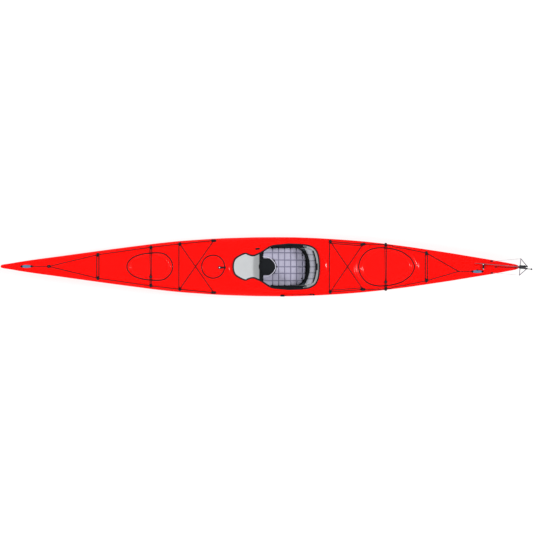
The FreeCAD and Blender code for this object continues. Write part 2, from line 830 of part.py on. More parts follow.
def on_deck(shape, x, y, turn=0):
    """Set a shape, modelled upright on the origin, square to the deck at a point."""
    z, normal = foot_on(outer_surface, x, y)
    placed = shape.copy()
    placed.rotate(V(0, 0, 0), V(0, 0, 1), turn)
    lean = V(0, 0, 1).cross(normal)
    if lean.Length > 0:
        placed.rotate(V(0, 0, 0), lean, math.degrees(V(0, 0, 1).getAngle(normal)))
    placed.translate(V(x, y, z))
    return placed


def fitting_block(length, width, height, hole):
    """Oval pad with rounded top edges. Its flat foot stands just clear of the crowned deck."""
    straight = length - width
    pad = box(-straight / 2, straight / 2, -width / 2, width / 2, fit_gap, height)
    for end in (-straight / 2, straight / 2):
        pad = pad.fuse(Part.makeCylinder(width / 2, height - fit_gap, V(end, 0, fit_gap)))
    pad = pad.removeSplitter()
    top = [edge for edge in pad.Edges if min(v.Z for v in edge.Vertexes) > height - fit_gap]
    pad = pad.makeFillet(height / 4, top)
    if hole > 0:
        pad = pad.cut(Part.makeCylinder(hole / 2, height))
    return pad


def screw():
    """Pan head with its shank, standing at the origin on the fitting's top."""
    shank = Part.makeCylinder(screw_shank / 2, screw_length, V(0, 0, -screw_length))
    return Part.makeCylinder(screw_head / 2, screw_head_height).fuse(shank)


def seat_fittings(pairs):
    """Both sides of each pair: the pads, their screws and the holes in the deck."""
    pads = []
    screws = []
    holes = []
    hole = screw_shank + 2 * screw_gap
    for place, length in pairs:
        block = fitting_block(length, fitting_width, fitting_height, hole)
        bore = Part.makeCylinder(hole / 2, 2 * screw_length, V(0, 0, -screw_length))
        for side in (1, -1):
            spot = deck_point(place, side)
            pads.append(on_deck(block, spot.x, spot.y))
            screws.append(on_deck(moved(screw(), 0, 0, fitting_height), spot.x, spot.y))
            holes.append(on_deck(bore, spot.x, spot.y))
    return pads, screws, holes


fore_pads, fore_screws, fore_holes = seat_fittings(fore_pairs)
aft_pads, aft_screws, aft_holes = seat_fittings(aft_pairs)
ring_eye = Part.makeCylinder(eye_diameter / 2, eye_height, V(0, 0, fit_gap))
ring_eye = ring_eye.cut(Part.makeCylinder(eye_bore / 2, eye_height, V(0, 0, eye_height / 3)))
ring_eye = [on_deck(ring_eye, x_at(eye_share), 0)]
slot_pad = fitting_block(slot_length, slot_width, slot_height, 0)
slot_pad = [on_deck(slot_pad, x_at(slot_share), slot_offset, slot_turn)]
deck_shell = deck_shell.cut(fore_holes + aft_holes)
keep("foredeck_fittings", fore_pads + ring_eye + slot_pad)
keep("aftdeck_fittings", aft_pads)
keep("fitting_screws", fore_screws + aft_screws)


def cord(points, diameter):
    """Tube along straight runs and tangent arcs through points of a route."""
    edges = []
    start = points[0]
    for i in range(1, len(points) - 1):
        before = points[i - 1] - points[i]
        after = points[i + 1] - points[i]
        reach = 0.45 * min(before.Length, after.Length)
        turn = math.pi - before.getAngle(after)
        if turn < fuzz:
            continue
        into = V(before).normalize()
        out = V(after).normalize()
        first = points[i] + into * reach
        last = points[i] + out * reach
        radius = reach / math.tan(turn / 2)
        centre = points[i] + (into + out).normalize() * math.hypot(radius, reach)
        middle = centre + (points[i] - centre).normalize() * radius
        edges.append(Part.makeLine(start, first))
        edges.append(Part.Arc(first, middle, last).toShape())
        start = last
    edges.append(Part.makeLine(start, points[-1]))
    path = Part.Wire(edges)
    disc = Part.Wire(Part.makeCircle(diameter / 2, points[0], points[1] - points[0]))
    return path.makePipeShell([disc], True, False)


def run(start, end, lift, steps=line_steps):
    """Points from place to place over the deck, each lifted clear of it."""
    points = []
    for i in range(steps + 1):
        spot = start + (end - start) * i / steps
        points.append(over_deck(spot.x, spot.y, lift))
    return points


def free_of(line, solids):
    """A line cut back to the faces of the fittings that it meets: its longest piece."""
    ends = [vertex.Point for vertex in line.Vertexes]
    near = [solid for solid in solids
            if min((end - solid.Solids[0].CenterOfMass).Length for end in ends) < reach_of_fitting]
    if not near:
        return line
    return max(line.cut(near).Solids, key=lambda solid: solid.Volume)


def both_sides(line):
    return [line, mirrored(line)]


rest_lift = line_diameter / 2 + sag_room
over_lift = rest_lift + line_diameter + hook_gap
all_pads = fore_pads + aft_pads


def side_line(places):
    points = [deck_point(place) for place in places]
    lines = []
    for start, end in zip(points, points[1:]):
        lines.append(free_of(cord(run(start, end, line_lift), line_diameter), all_pads))
    return [side for line in lines for side in both_sides(line)]


def cross_line(place, shift, lift):
    """Line straight across the deck beside a pair of fittings."""
    port = deck_point(place, -1)
    starboard = deck_point(place, 1)
    aside = V(shift, 0, 0)
    return free_of(cord(run(port + aside, starboard + aside, lift, cross_steps), line_diameter), all_pads)


def crossed_lines(front, back):
    """Two bungees that cross on the centreline, one over the other."""
    lines = []
    for side, lift in ((1, rest_lift), (-1, over_lift)):
        start = deck_point(front, side)
        end = deck_point(back, -side)
        lines.append(free_of(cord(run(start, end, lift, cross_steps), line_diameter), all_pads))
    return lines


eye_point = V(x_at(eye_share), 0, 0)
v_line = free_of(cord(run(eye_point, deck_point(bow_pair), line_lift), line_diameter),
                 all_pads + ring_eye)
keep("foredeck_lines", both_sides(v_line)
     + side_line([bow_pair, bow_hatch_pair, fore_pair, fore_long_pair]))
half_gap = bungee_spacing / 2
keep("foredeck_bungees", crossed_lines(fore_pair, fore_long_pair)
     + [cross_line(fore_pair, -half_gap, rest_lift)]
     + [cross_line(bow_pair, shift, rest_lift) for shift in (-half_gap, half_gap)])
keep("aftdeck_bungees", crossed_lines(aft_pair, aft_long_pair)
     + [cross_line(aft_pair, -half_gap, rest_lift)]
     + [cross_line(stern_pair, shift, rest_lift) for shift in (-half_gap, half_gap)]
     + side_line([aft_pair, aft_long_pair]))


def toggle(share, offset):
    """Barrel grip with a cap at each end and a bore for its tether, lying along the boat."""
    x = x_at(share)
    level = deck_z(x, offset) + toggle_height / 2 + 2 * fit_gap
    half = toggle_length / 2
    stations = [(-half, 0.55), (-half * 0.6, 0.9), (0, 1), (half * 0.6, 0.9), (half, 0.55)]
    wires = []
    for along, share_of_size in stations:
        ellipse = Part.Ellipse(V(0, 0, 0), toggle_width / 2 * share_of_size,
                               toggle_height / 2 * share_of_size).toShape()
        ellipse.rotate(V(0, 0, 0), V(1, 1, 1), 120)
        ellipse.translate(V(x + along, offset, level))
        wires.append(Part.Wire(ellipse))
    grip = Part.makeLoft(wires, True, False)
    caps = [Part.makeCylinder(toggle_height / 4, toggle_cap, V(x + end, offset, level), V(1, 0, 0))
            for end in (-half - toggle_cap, half)]
    return grip.fuse(caps), level


bow_toggle, bow_toggle_z = toggle(bow_toggle_share, 0)
stern_toggle, stern_toggle_z = toggle(stern_toggle_share, stern_line_offset)
keep("bow_toggle", bow_toggle)
keep("stern_toggle", stern_toggle)
reach = toggle_length / 2 + toggle_cap + 2 * fit_gap
bow_tether = cord([V(x_at(bow_toggle_share) + reach, 0, bow_toggle_z),
                   V(x_at(eye_share), 0, deck_z(x_at(eye_share), 0) + line_lift)], line_diameter)
keep("bow_toggle_tether", free_of(bow_tether, ring_eye))
apex = over_deck(x_at(apex_share), stern_line_offset, knot_diameter / 2 + hook_gap)
stern_v = []
for side in (1, -1):
    leg = run(deck_point(stern_pair, side), apex, line_lift)
    stern_v.append(free_of(cord(leg, line_diameter), all_pads))
knot = Part.makeSphere(knot_diameter / 2, apex)
stern_v = [leg.cut(knot).Solids[0] for leg in stern_v]
keep("aftdeck_lines", stern_v + [knot] + side_line([aft_long_pair, stern_hatch_pair, stern_pair]))
stern_tether = cord([apex, V(x_at(stern_toggle_share) - reach, stern_line_offset, stern_toggle_z)],
                    line_diameter)
keep("stern_toggle_tether", free_of(stern_tether, [knot]))


def hold_down(name, pair, hook_offset):
    """Double cord over a hatch from the starboard fitting to a ball hook, tied to port."""
    starboard = deck_point(pair, 1)
    port = deck_point(pair, -1)
    hook = V(starboard.x, hook_offset, 0)
    radius = hook_diameter / 2
    hook.z = deck_z(hook.x, hook.y) + cover_proud + radius + hook_gap
    ball = Part.makeSphere(radius, hook)
    lift = cover_proud + rest_lift
    cords = []
    for shift in (-tie_spread / 2, tie_spread / 2):
        for near, far, steps in ((starboard, hook, cross_steps), (port, hook, line_steps)):
            start = near + V(shift, 0, 0)
            end = V(hook.x + shift / 2, hook.y, 0)
            points = run(start, end, lift, steps)
            cords.append(free_of(cord(points, line_diameter), all_pads + [ball]))
    keep(name + "_hatch_hook", ball)
    keep(name + "_hatch_cords", cords)


hold_down("bow", bow_hatch_pair, bow_hook_offset)
hold_down("stern", stern_hatch_pair, stern_hook_offset)

# Day hatch latch
latch_offset = -9.0
latch_pivot_share = 0.4227
latch_knob = 30.0
latch_knob_height = 12.0
latch_arm_length = 62.0
latch_arm_width = 18.0
latch_arm_height = 5.0
latch_lift = 1.0


def make_latch():
    """Turn knob on the cover with an arm that reaches over the deck."""
    x = x_at(latch_pivot_share)
    low = max(deck_z(x + step * latch_arm_length / 4, latch_offset) for step in range(5))
    low = low + cover_proud + latch_lift
    knob = Part.makeCylinder(latch_knob / 2, latch_knob_height, V(x, latch_offset, low))
    arm = box(x, x + latch_arm_length, latch_offset - latch_arm_width / 2,
              latch_offset + latch_arm_width / 2, low, low + latch_arm_height)
    return knob.fuse(arm), V(x, latch_offset, low)


day_latch, latch_point = make_latch()
keep("day_hatch_latch", day_latch)

# Rudder. The steering pin stands behind the stern; what turns on it is modelled straight
# and then turned to the angle at which the rudder lies.
steer_rest_angle = -4.75
pin_setback = 25.0
pin_diameter = 8.0
pin_gap = 0.05
pin_head = 3.0
bracket_low = 205.0
bracket_high = 292.0
bracket_width = 24.0
bracket_plate = 4.0
bracket_lug = 8.0
bracket_lap = 60.0
tube_diameter = 18.0
lug_gap = 0.5
head_level = 304.0
head_height = 62.0
head_front = -20.0
head_back = 62.0
web_back = 30.0
cheek_thickness = 14.0
blade_thickness = 6.0
blade_gap = 0.6
blade_pivot_back = 32.0
blade_pivot_level = 350.0
blade_bolt = 8.0
blade_bolt_head = 14.0
blade_bolt_head_height = 4.0
blade_length = 500.0
blade_low = 30.0
blade_neck = 11.0
blade_high = 58.0
blade_outline_shares = [0.4, 0.9, 1, 0.96, 0.03, -0.025, -0.025, 0.12]
yoke_bar = 8.0
yoke_half_span = 83.0
yoke_level = 312.0
yoke_setback = -12.0
yoke_apex = 58.0
ball_diameter = 17.0
ball_back = 102.0
ball_offset = -13.0
ball_level = 336.0
ball_arm = 7.0
pin_x = stern_x + pin_setback


def straight(shape):
    """Turn a shape modelled straight about the steering pin to the rudder's rest angle."""
    turned = shape.copy()
    turned.rotate(V(pin_x, 0, 0), V(0, 0, 1), steer_rest_angle)
    return turned


def upright(x, y, z0, z1, diameter):
    return Part.makeCylinder(diameter / 2, z1 - z0, V(x, y, z0))


def make_bracket():
    """Plate on the stern's face with two lugs for the steering pin."""
    plate = box(stern_x, stern_x + bracket_plate, -bracket_width / 2, bracket_width / 2,
                bracket_low, bracket_high)
    bracket = plate
    for low in (bracket_low, bracket_high - bracket_lug):
        lug = box(stern_x, pin_x, -bracket_width / 2, bracket_width / 2, low, low + bracket_lug)
        bracket = bracket.fuse([lug, upright(pin_x, 0, low, low + bracket_lug, bracket_width)])
    return bracket.cut(upright(pin_x, 0, bracket_low, bracket_high, pin_diameter))


def make_head():
    """Tube between the lugs, a web behind them and two cheeks that hold the blade."""
    bore = pin_diameter + 2 * pin_gap
    low = bracket_low + bracket_lug + lug_gap
    top = bracket_high - bracket_lug - lug_gap
    tube = upright(pin_x, 0, low, top, tube_diameter)
    web_front = pin_x + bracket_width / 2 + lug_gap
    slot = blade_thickness / 2 + blade_gap
    web = box(web_front, pin_x + web_back, -slot - cheek_thickness, slot + cheek_thickness,
              head_level, head_level + cheek_thickness / 2)
    post = box(pin_x, web_front + cheek_thickness / 2, -tube_diameter / 4, tube_diameter / 4, low, top)
    rise = box(web_front, web_front + cheek_thickness / 2, -tube_diameter / 4, tube_diameter / 4,
               low, head_level + cheek_thickness / 2)
    cheeks = []
    for side in (1, -1):
        y0 = min(side * slot, side * (slot + cheek_thickness))
        cheek = box(pin_x + head_front, pin_x + head_back, y0, y0 + cheek_thickness,
                    head_level, head_level + head_height)
        cheeks.append(cheek)
    arm_end = V(pin_x + ball_back, ball_offset, ball_level)
    arm = rod(V(pin_x + head_back - cheek_thickness, ball_offset, ball_level), arm_end, ball_arm)
    head = tube.fuse([post, rise, web, arm] + cheeks)
    head = head.cut(upright(pin_x, 0, low, top, bore))
    bolt = rod(V(pin_x + blade_pivot_back, -hull_beam, blade_pivot_level),
               V(pin_x + blade_pivot_back, hull_beam, blade_pivot_level), blade_bolt)
    head = head.cut(bolt)
    return head.removeSplitter(), Part.makeSphere(ball_diameter / 2, arm_end)


def make_yoke():
    """Bar across the head with a stay from each end back to the cheeks."""
    level = yoke_level
    x = pin_x + yoke_setback
    bar = rod(V(x, -yoke_half_span, level), V(x, yoke_half_span, level), yoke_bar)
    stays = []
    for side in (1, -1):
        end = V(pin_x + yoke_apex, side * (blade_thickness / 2 + blade_gap + cheek_thickness / 2),
                level)
        stays.append(rod(V(x, side * yoke_half_span, level), end, yoke_bar))
        stays.append(Part.makeSphere(yoke_bar / 2, V(x, side * yoke_half_span, level)))
    return bar.fuse(stays)


def make_blade():
    """Flat blade lying forward of its bolt, edge down, with a narrow neck and a rounded tip."""
    px = pin_x + blade_pivot_back
    heights = [blade_high, blade_high, -blade_low * 0.3, -blade_low, -blade_low, -blade_neck,
               blade_neck, blade_neck]
    corners = [V(px - share * blade_length, -blade_thickness / 2, blade_pivot_level + rise)
               for share, rise in zip(blade_outline_shares, heights)]
    blade = Part.Face(Part.makePolygon(corners + corners[:1])).extrude(V(0, blade_thickness, 0))
    hole = rod(V(px, -blade_thickness, blade_pivot_level), V(px, blade_thickness, blade_pivot_level),
               blade_bolt + 2 * pin_gap)
    return blade.cut(hole)


def make_blade_bolt():
    half = blade_thickness / 2 + blade_gap + cheek_thickness
    x = pin_x + blade_pivot_back
    bolt = rod(V(x, -half, blade_pivot_level), V(x, half, blade_pivot_level), blade_bolt)
    for side in (1, -1):
        bolt = bolt.fuse(rod(V(x, side * half, blade_pivot_level),
                             V(x, side * (half + blade_bolt_head_height), blade_pivot_level),
                             blade_bolt_head))
    return bolt


head, ball = make_head()
yoke = make_yoke()
keep("rudder_bracket", make_bracket())
keep("steering_pin", upright(pin_x, 0, bracket_low - pin_head, bracket_high, pin_diameter)
     .fuse(upright(pin_x, 0, bracket_low - pin_head, bracket_low, pin_diameter + pin_head)))
keep("rudder_head", straight(head.cut(yoke).cut(ball)))
keep("rudder_yoke", straight(yoke))
keep("rudder_tail_ball", straight(ball))
keep("rudder_blade", straight(make_blade()))
keep("blade_bolt", straight(make_blade_bolt()))

# Chock that the lying blade rests on, cables and the lift line
chock_share = 0.9316
chock_offset = 4.0
chock_length = 15.0
chock_width = 56.0
cable_exit_share = 0.948
cable_diameter = 3.0
cable_exit_across = 0.78
lift_line_diameter = 4.0
stern_fairlead_share = 0.9559
fairlead_diameter = 12.0
fairlead_height = 10.0
haul_front_share = 0.544
haul_back_share = 0.604
haul_across = 0.935
haul_bead_share = 0.5985
haul_bead_length = 24.0
haul_bead_diameter = 14.0
haul_bead_gap = 0.8
haul_lift = 12.0

chock_x = x_at(chock_share)
chock_top = blade_pivot_level - blade_low - fit_gap
chock = box(chock_x - chock_length / 2, chock_x + chock_length / 2, chock_offset - chock_width / 2,
            chock_offset + chock_width / 2, seam_z(chock_share), chock_top)
keep("rudder_chock", chock.cut(deck_outer_deep))


def make_cable(side):
    """Wire from its exit in the deck's shoulder to the end of the yoke."""
    exit_point = deck_point((cable_exit_share, cable_exit_across), side, fairlead_height / 2)
    end = V(pin_x + yoke_setback, side * yoke_half_span, yoke_level)
    turn = FreeCAD.Rotation(V(0, 0, 1), steer_rest_angle)
    end = V(pin_x, 0, 0) + turn.multVec(end - V(pin_x, 0, 0))
    guide = fitting_block(fairlead_diameter * 2, fairlead_diameter, fairlead_height, 0)
    guide = on_deck(guide, exit_point.x, exit_point.y)
    wire = rod(exit_point, end, cable_diameter)
    return free_of(wire, [guide, parts["rudder_yoke"]]), guide


starboard_cable, starboard_guide = make_cable(1)
port_cable, port_guide = make_cable(-1)
keep("rudder_cables", [starboard_cable, port_cable])
fairlead = on_deck(fitting_block(fairlead_diameter * 2, fairlead_diameter, fairlead_height, 0),
                   x_at(stern_fairlead_share), 0)
lift_start = V(x_at(stern_fairlead_share), 0, 0)
lift_start.z = deck_z(lift_start.x, 0) + fairlead_height / 2
lift_end = V(pin_x + head_front, -blade_thickness * 1.5, yoke_level - yoke_bar)
lift_line = rod(lift_start, lift_end, lift_line_diameter)
keep("lift_line_stern", free_of(lift_line, [fairlead, parts["rudder_head"], parts["rudder_yoke"]]))

front_cleat = fitting_block(long_fitting_length, fitting_width * 0.6, haul_lift + fitting_height / 3, 0)
back_cleat = fitting_block(fitting_length * 0.6, fitting_width * 0.5, haul_lift + fitting_height / 3, 0)
front_point = deck_point((haul_front_share, haul_across), -1, haul_lift)
back_point = deck_point((haul_back_share, haul_across), -1, haul_lift)
cleats = [on_deck(front_cleat, front_point.x, front_point.y),
          on_deck(back_cleat, back_point.x, back_point.y)]
haul_line = free_of(rod(front_point, back_point, lift_line_diameter), cleats)
along = (back_point - front_point).normalize()
bead_x = x_at(haul_bead_share)
bead_centre = front_point + along * ((bead_x - front_point.x) / along.x)
bead_start = bead_centre - along * (haul_bead_length / 2)
bead_end = bead_centre + along * (haul_bead_length / 2)
bead = rod(bead_start, bead_end, haul_bead_diameter)
bead = bead.cut(rod(bead_start, bead_end, lift_line_diameter + 2 * haul_bead_gap))
keep("line_guides", cleats + [starboard_guide, port_guide, fairlead])
keep("haul_line", haul_line)
keep("haul_bead", bead)

keep("hull_shell", hull_shell)
keep("deck_shell", deck_shell)

os.makedirs("parts", exist_ok=True)
for name, shape in parts.items():
    shape.exportStep("parts/" + name + ".step")
print(len(parts), "nodes,", sum(len(shape.Solids) for shape in parts.values()), "solids")
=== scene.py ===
"""Looks of a sea touring kayak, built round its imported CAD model.

Metres, in the model's frame: +X aft, +Y to starboard, +Z up. Each class below is a
sub-assembly that makes its own meshes and dresses them; main() builds them in order.
"""

import json
import logging
import math
from dataclasses import dataclass, field
from enum import Enum
from typing import Callable, Sequence

import bmesh
import bpy
import numpy as np
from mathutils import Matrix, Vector

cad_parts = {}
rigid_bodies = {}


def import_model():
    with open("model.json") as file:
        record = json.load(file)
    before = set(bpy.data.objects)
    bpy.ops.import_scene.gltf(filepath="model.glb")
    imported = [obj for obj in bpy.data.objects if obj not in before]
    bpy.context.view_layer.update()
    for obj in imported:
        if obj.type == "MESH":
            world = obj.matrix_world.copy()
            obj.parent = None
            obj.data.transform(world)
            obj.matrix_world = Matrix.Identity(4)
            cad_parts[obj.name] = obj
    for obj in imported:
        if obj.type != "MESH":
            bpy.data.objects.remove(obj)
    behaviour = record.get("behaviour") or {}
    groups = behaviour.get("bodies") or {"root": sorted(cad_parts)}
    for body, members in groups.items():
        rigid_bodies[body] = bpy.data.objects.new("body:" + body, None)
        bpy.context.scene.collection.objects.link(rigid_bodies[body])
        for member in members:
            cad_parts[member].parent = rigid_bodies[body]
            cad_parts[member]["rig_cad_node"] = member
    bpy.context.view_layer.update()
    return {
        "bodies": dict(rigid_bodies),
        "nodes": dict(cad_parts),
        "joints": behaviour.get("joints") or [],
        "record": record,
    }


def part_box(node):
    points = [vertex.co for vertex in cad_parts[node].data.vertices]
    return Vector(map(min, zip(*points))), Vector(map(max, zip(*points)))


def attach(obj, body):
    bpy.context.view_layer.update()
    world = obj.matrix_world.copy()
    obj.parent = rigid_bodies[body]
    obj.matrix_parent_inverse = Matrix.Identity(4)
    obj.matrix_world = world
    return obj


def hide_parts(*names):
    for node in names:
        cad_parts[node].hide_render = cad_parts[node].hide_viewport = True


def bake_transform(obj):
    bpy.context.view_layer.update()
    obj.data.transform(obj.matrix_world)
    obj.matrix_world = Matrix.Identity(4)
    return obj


log = logging.getLogger("kayak")

Array = np.ndarray
Table = Sequence[tuple[float, float]]
Placer = Callable[[Array], Array]
Object = bpy.types.Object
Tree = bpy.types.NodeTree
Node = bpy.types.Node
Socket = bpy.types.NodeSocket

# Radians that a wave texture turns through in one unit of its scale
WAVE_TURN = 20
# Frames of the cloth run that blows up a cushion
PUFF_FRAMES = 20
# Distance in metres within which two vertices become one
MERGE = 1e-5
# A path is steep where its share upright is over this
STEEP = 0.9
WHITE = (1.0, 1.0, 1.0, 1.0)
SIDES = ((1, "starboard"), (-1, "port"))


def linear(colour: str) -> tuple[float, float, float, float]:
    """Turn an sRGB hex colour into Blender's linear one.

    Args:
        colour: Six hex digits, such as "FF1A00".

    Returns:
        Red, green, blue and alpha, linear.
    """
    channels = [int(colour[i:i + 2], 16) / 255 for i in (0, 2, 4)]
    curve = [c / 12.92 if c <= 0.04045 else ((c + 0.055) / 1.055) ** 2.4 for c in channels]
    return (curve[0], curve[1], curve[2], 1.0)


def add(tree: Tree, kind: str, settings: dict | None = None, links: dict | None = None) -> Node:
    """Add a node to a tree, with its properties, socket values and links.

    Args:
        tree: The material's or the world's node tree.
        kind: The node's type without "ShaderNode".
        settings: Properties of the node, or values of its sockets by name or number.
        links: Output sockets to join to this node's sockets, by name or number.

    Returns:
        The new node.
    """
    node = tree.nodes.new("ShaderNode" + kind)
    for key, value in (settings or {}).items():
        if isinstance(key, str) and hasattr(node, key):
            setattr(node, key, value)
        else:
            node.inputs[key].default_value = value
    for key, socket in (links or {}).items():
        tree.links.new(socket, node.inputs[key])
    return node


def bare_tree(owner: bpy.types.Material | bpy.types.World) -> Tree:
    """Give a material or world a node tree with nothing in it, and return the tree."""
    owner.use_nodes = True
    owner.node_tree.nodes.clear()
    return owner.node_tree


def joined(tree: Tree, operation: str, first: Socket, second: Socket,
           clamp: bool = False) -> Socket:
    """Join two sockets by a math node and return its output."""
    return add(tree, "Math", {"operation": operation, "use_clamp": clamp},
               {0: first, 1: second}).outputs[0]


class Place(Enum):
    """Where a finish's pattern takes its coordinates."""

    OBJECT = "Object"
    SURFACE = "UV"


@dataclass(frozen=True)
class Finish:
    """A moulded or machined surface; subclasses add their own pattern.

    spread is the least and greatest roughness, as shares of the finish's own."""

    name: str
    slot: str
    colour: str
    second: str = ""
    roughness: float = 0.5
    metallic: float = 0.0
    specular: float = 0.3
    coat: float = 0.0
    coat_roughness: float = 0.06
    spread: tuple[float, float] = (0.85, 1.2)
    grain_mm: float = 2.0
    broad_mm: float = 90.0
    relief_mm: float = 0.05
    # glow is painted light: an emission in the finish's own colour, though it is no lamp
    glow: float = 0.0
    place: Place = Place.OBJECT

    def material(self) -> bpy.types.Material:
        """Return the finish's material, made on its first use."""
        found = bpy.data.materials.get(self.name)
        return found if found else self.make()

    def make(self) -> bpy.types.Material:
        """Make the material's nodes.

        Returns:
            The new material.
        """
        made = bpy.data.materials.new(self.name)
        tree = bare_tree(made)
        shader = add(tree, "BsdfPrincipled", {
            "Base Color": linear(self.colour), "Roughness": self.roughness,
            "Metallic": self.metallic, "Coat Weight": self.coat,
            "Coat Roughness": self.coat_roughness})
        if self.metallic == 0:
            shader.inputs["Specular IOR Level"].default_value = self.specular
        # Painted light: a glowing finish gives off its own colour, though it is no lamp
        if self.glow:
            shader.inputs["Emission Color"].default_value = linear(self.colour)
            shader.inputs["Emission Strength"].default_value = self.glow
        add(tree, "OutputMaterial", links={"Surface": shader.outputs[0]})
        spot = add(tree, "TexCoord").outputs[self.place.value]
        self.pattern(tree, shader, spot)
        made.diffuse_color = linear(self.colour)
        return made

    def scale(self, size_mm: float) -> float:
        """Return the texture scale at which one cell is size_mm wide."""
        return 1000.0 / size_mm

    def noise(self, tree: Tree, spot: Socket, size_mm: float, detail: float) -> Socket:
        """Add noise whose cells are size_mm wide and return its factor."""
        return add(tree, "TexNoise", {"Scale": self.scale(size_mm), "Detail": detail},
                   {"Vector": spot}).outputs["Fac"]

    def bump(self, tree: Tree, shader: Node, height: Socket) -> None:
        """Join a height from 0 to 1 to the shader's normal, relief_mm deep."""
        made = add(tree, "Bump", {"Distance": self.relief_mm / 1000, "Strength": 1.0},
                   {"Height": height})
        tree.links.new(made.outputs["Normal"], shader.inputs["Normal"])

    def gloss(self, tree: Tree, shader: Node, factor: Socket) -> None:
        """Let a factor vary the roughness within the finish's spread."""
        low, high = (min(self.roughness * share, 1.0) for share in self.spread)
        made = add(tree, "MapRange", {"To Min": low, "To Max": high}, {"Value": factor})
        tree.links.new(made.outputs[0], shader.inputs["Roughness"])

    def mottle(self, tree: Tree, shader: Node, factor: Socket) -> None:
        """Mix the finish's two colours by a factor into the base colour."""
        mix = add(tree, "Mix", {"data_type": "RGBA"}, {0: factor})
        mix.inputs[6].default_value = linear(self.colour)
        mix.inputs[7].default_value = linear(self.second or self.colour)
        tree.links.new(mix.outputs[2], shader.inputs["Base Color"])

    def pattern(self, tree: Tree, shader: Node, spot: Socket) -> None:
        """Fine moulded grain: noise in the relief, broad noise in colour and gloss."""
        grain = self.noise(tree, spot, self.grain_mm, 3.0)
        broad = self.noise(tree, spot, self.broad_mm, 2.0)
        self.mottle(tree, shader, broad)
        self.gloss(tree, shader, broad)
        self.bump(tree, shader, grain)


@dataclass(frozen=True)
class BrushedMetal(Finish):
    """Metal with fine lines along the boat: noise drawn out 40 times along X."""

    drawn: float = 1 / 40
    spread: tuple[float, float] = (0.7, 1.3)

    def pattern(self, tree: Tree, shader: Node, spot: Socket) -> None:
        """Stretch noise along the brushing and use it for gloss and relief."""
        lines = add(tree, "Mapping", {"Scale": (self.drawn, 1.0, 1.0)}, {"Vector": spot})
        streak = self.noise(tree, lines.outputs[0], self.grain_mm, 4.0)
        self.mottle(tree, shader, streak)
        self.gloss(tree, shader, streak)
        self.bump(tree, shader, streak)


@dataclass(frozen=True)
class Braid(Finish):
    """Cord with strands that cross: two waves turned against each other over the UV map."""

    strands: float = 8.0

    def pattern(self, tree: Tree, shader: Node, spot: Socket) -> None:
        """Cross two diagonal band waves; grain_mm sets how long the strands are."""
        heights = []
        for way in (1.0, -1.0):
            turned = add(tree, "Mapping", {"Scale": (self.strands * way,
                                                     self.scale(self.grain_mm), 1.0)},
                         {"Vector": spot})
            wave = add(tree, "TexWave", {"bands_direction": "DIAGONAL", "Scale": 0.5,
                                         "Distortion": 0.0}, {"Vector": turned.outputs[0]})
            heights.append(wave.outputs["Fac"])
        high = joined(tree, "MAXIMUM", *heights)
        self.mottle(tree, shader, high)
        self.bump(tree, shader, high)


@dataclass(frozen=True)
class WovenCloth(Finish):
    """Plain weave: threads over and under, as the larger of two crossed waves. The mesh attribute
    "sewn", 1 in a channel's bottom, darkens it with a second colour that is partly the stitching's
    own and partly painted shade in the channel's hollow."""

    # Colour at a channel's bottom: the stitching's darker colour with painted shade in it
    thread_and_shade: str = "6A687E"
    wobble: float = 1.5
    sheen: float = 0.25
    sheen_roughness: float = 0.5
    broad_mm: float = 60.0

    def pattern(self, tree: Tree, shader: Node, spot: Socket) -> None:
        """Cross waves along X and Y (with Z for upright cloth), plus soft soiling."""
        waves = []
        for direction in ("X", "Y", "Z"):
            wave = add(tree, "TexWave", {"bands_direction": direction,
                                         "Scale": self.scale(self.grain_mm) / WAVE_TURN,
                                         "Distortion": self.wobble, "Detail": 1.0},
                       {"Vector": spot})
            waves.append(wave.outputs["Fac"])
        weave = joined(tree, "MULTIPLY", joined(tree, "MAXIMUM", *waves[:2]), waves[2])
        soil = self.noise(tree, spot, self.broad_mm, 4.0)
        self.mottle(tree, shader, joined(tree, "MULTIPLY", weave, soil))
        # Painted shade: the channels' bottoms take the darker colour, partly the stitching's and
        # partly shade
        sewn = add(tree, "Attribute", {"attribute_name": "sewn"})
        cloth = shader.inputs["Base Color"].links[0].from_socket
        dark = add(tree, "Mix", {"data_type": "RGBA"}, {0: sewn.outputs["Fac"], 6: cloth})
        dark.inputs[7].default_value = linear(self.thread_and_shade)
        tree.links.new(dark.outputs[2], shader.inputs["Base Color"])
        shader.inputs["Sheen Weight"].default_value = self.sheen
        shader.inputs["Sheen Roughness"].default_value = self.sheen_roughness
        self.bump(tree, shader, weave)


# Polished rotomoulded polyethylene: even, deep and glossy, with a faint orange peel
SHELL_RED = Finish("polished_polyethylene_red", "shell_red", "FF0600", "FA0300",
                   roughness=0.16, specular=0.07, coat=0.06, grain_mm=14.0, relief_mm=0.02)
# The same polished sheet, pressed into covers
COVER_RED = Finish("pressed_polyethylene_red", "cover_red", "FF0600", "F80300",
                   roughness=0.14, specular=0.07, coat=0.09, grain_mm=12.0, relief_mm=0.02)
# The moulding's inside, natural light polyethylene: satin and waxy. Its glow is painted light: it
# gives off its own grey, though it is no lamp, to lift the inside out of the deck's shade
INSIDE_GREY = Finish("natural_polyethylene_inside_painted_glow", "tape", "B8BABB", "AEB0B2",
                     roughness=0.55, grain_mm=9.0, relief_mm=0.06, glow=0.5)
# Glass filled nylon straight from the mould: near black, satin
NYLON_BLACK = Finish("moulded_nylon_black", "black_plastic", "0C0F12", "14171B",
                     specular=0.1, grain_mm=1.5)
# Soft synthetic rubber (EPDM): dull black
RUBBER_BLACK = Finish("epdm_rubber_black", "black_rubber", "0D0F11", "15171A",
                      roughness=0.75, specular=0.1, grain_mm=2.5, relief_mm=0.08)
# Closed-cell foam with cut pores that catch light as a fine speckle
FOAM_GREY = Finish("closed_cell_foam_grey", "grey_foam", "16181B", "202327",
                   roughness=0.95, specular=0.08, relief_mm=0.25)
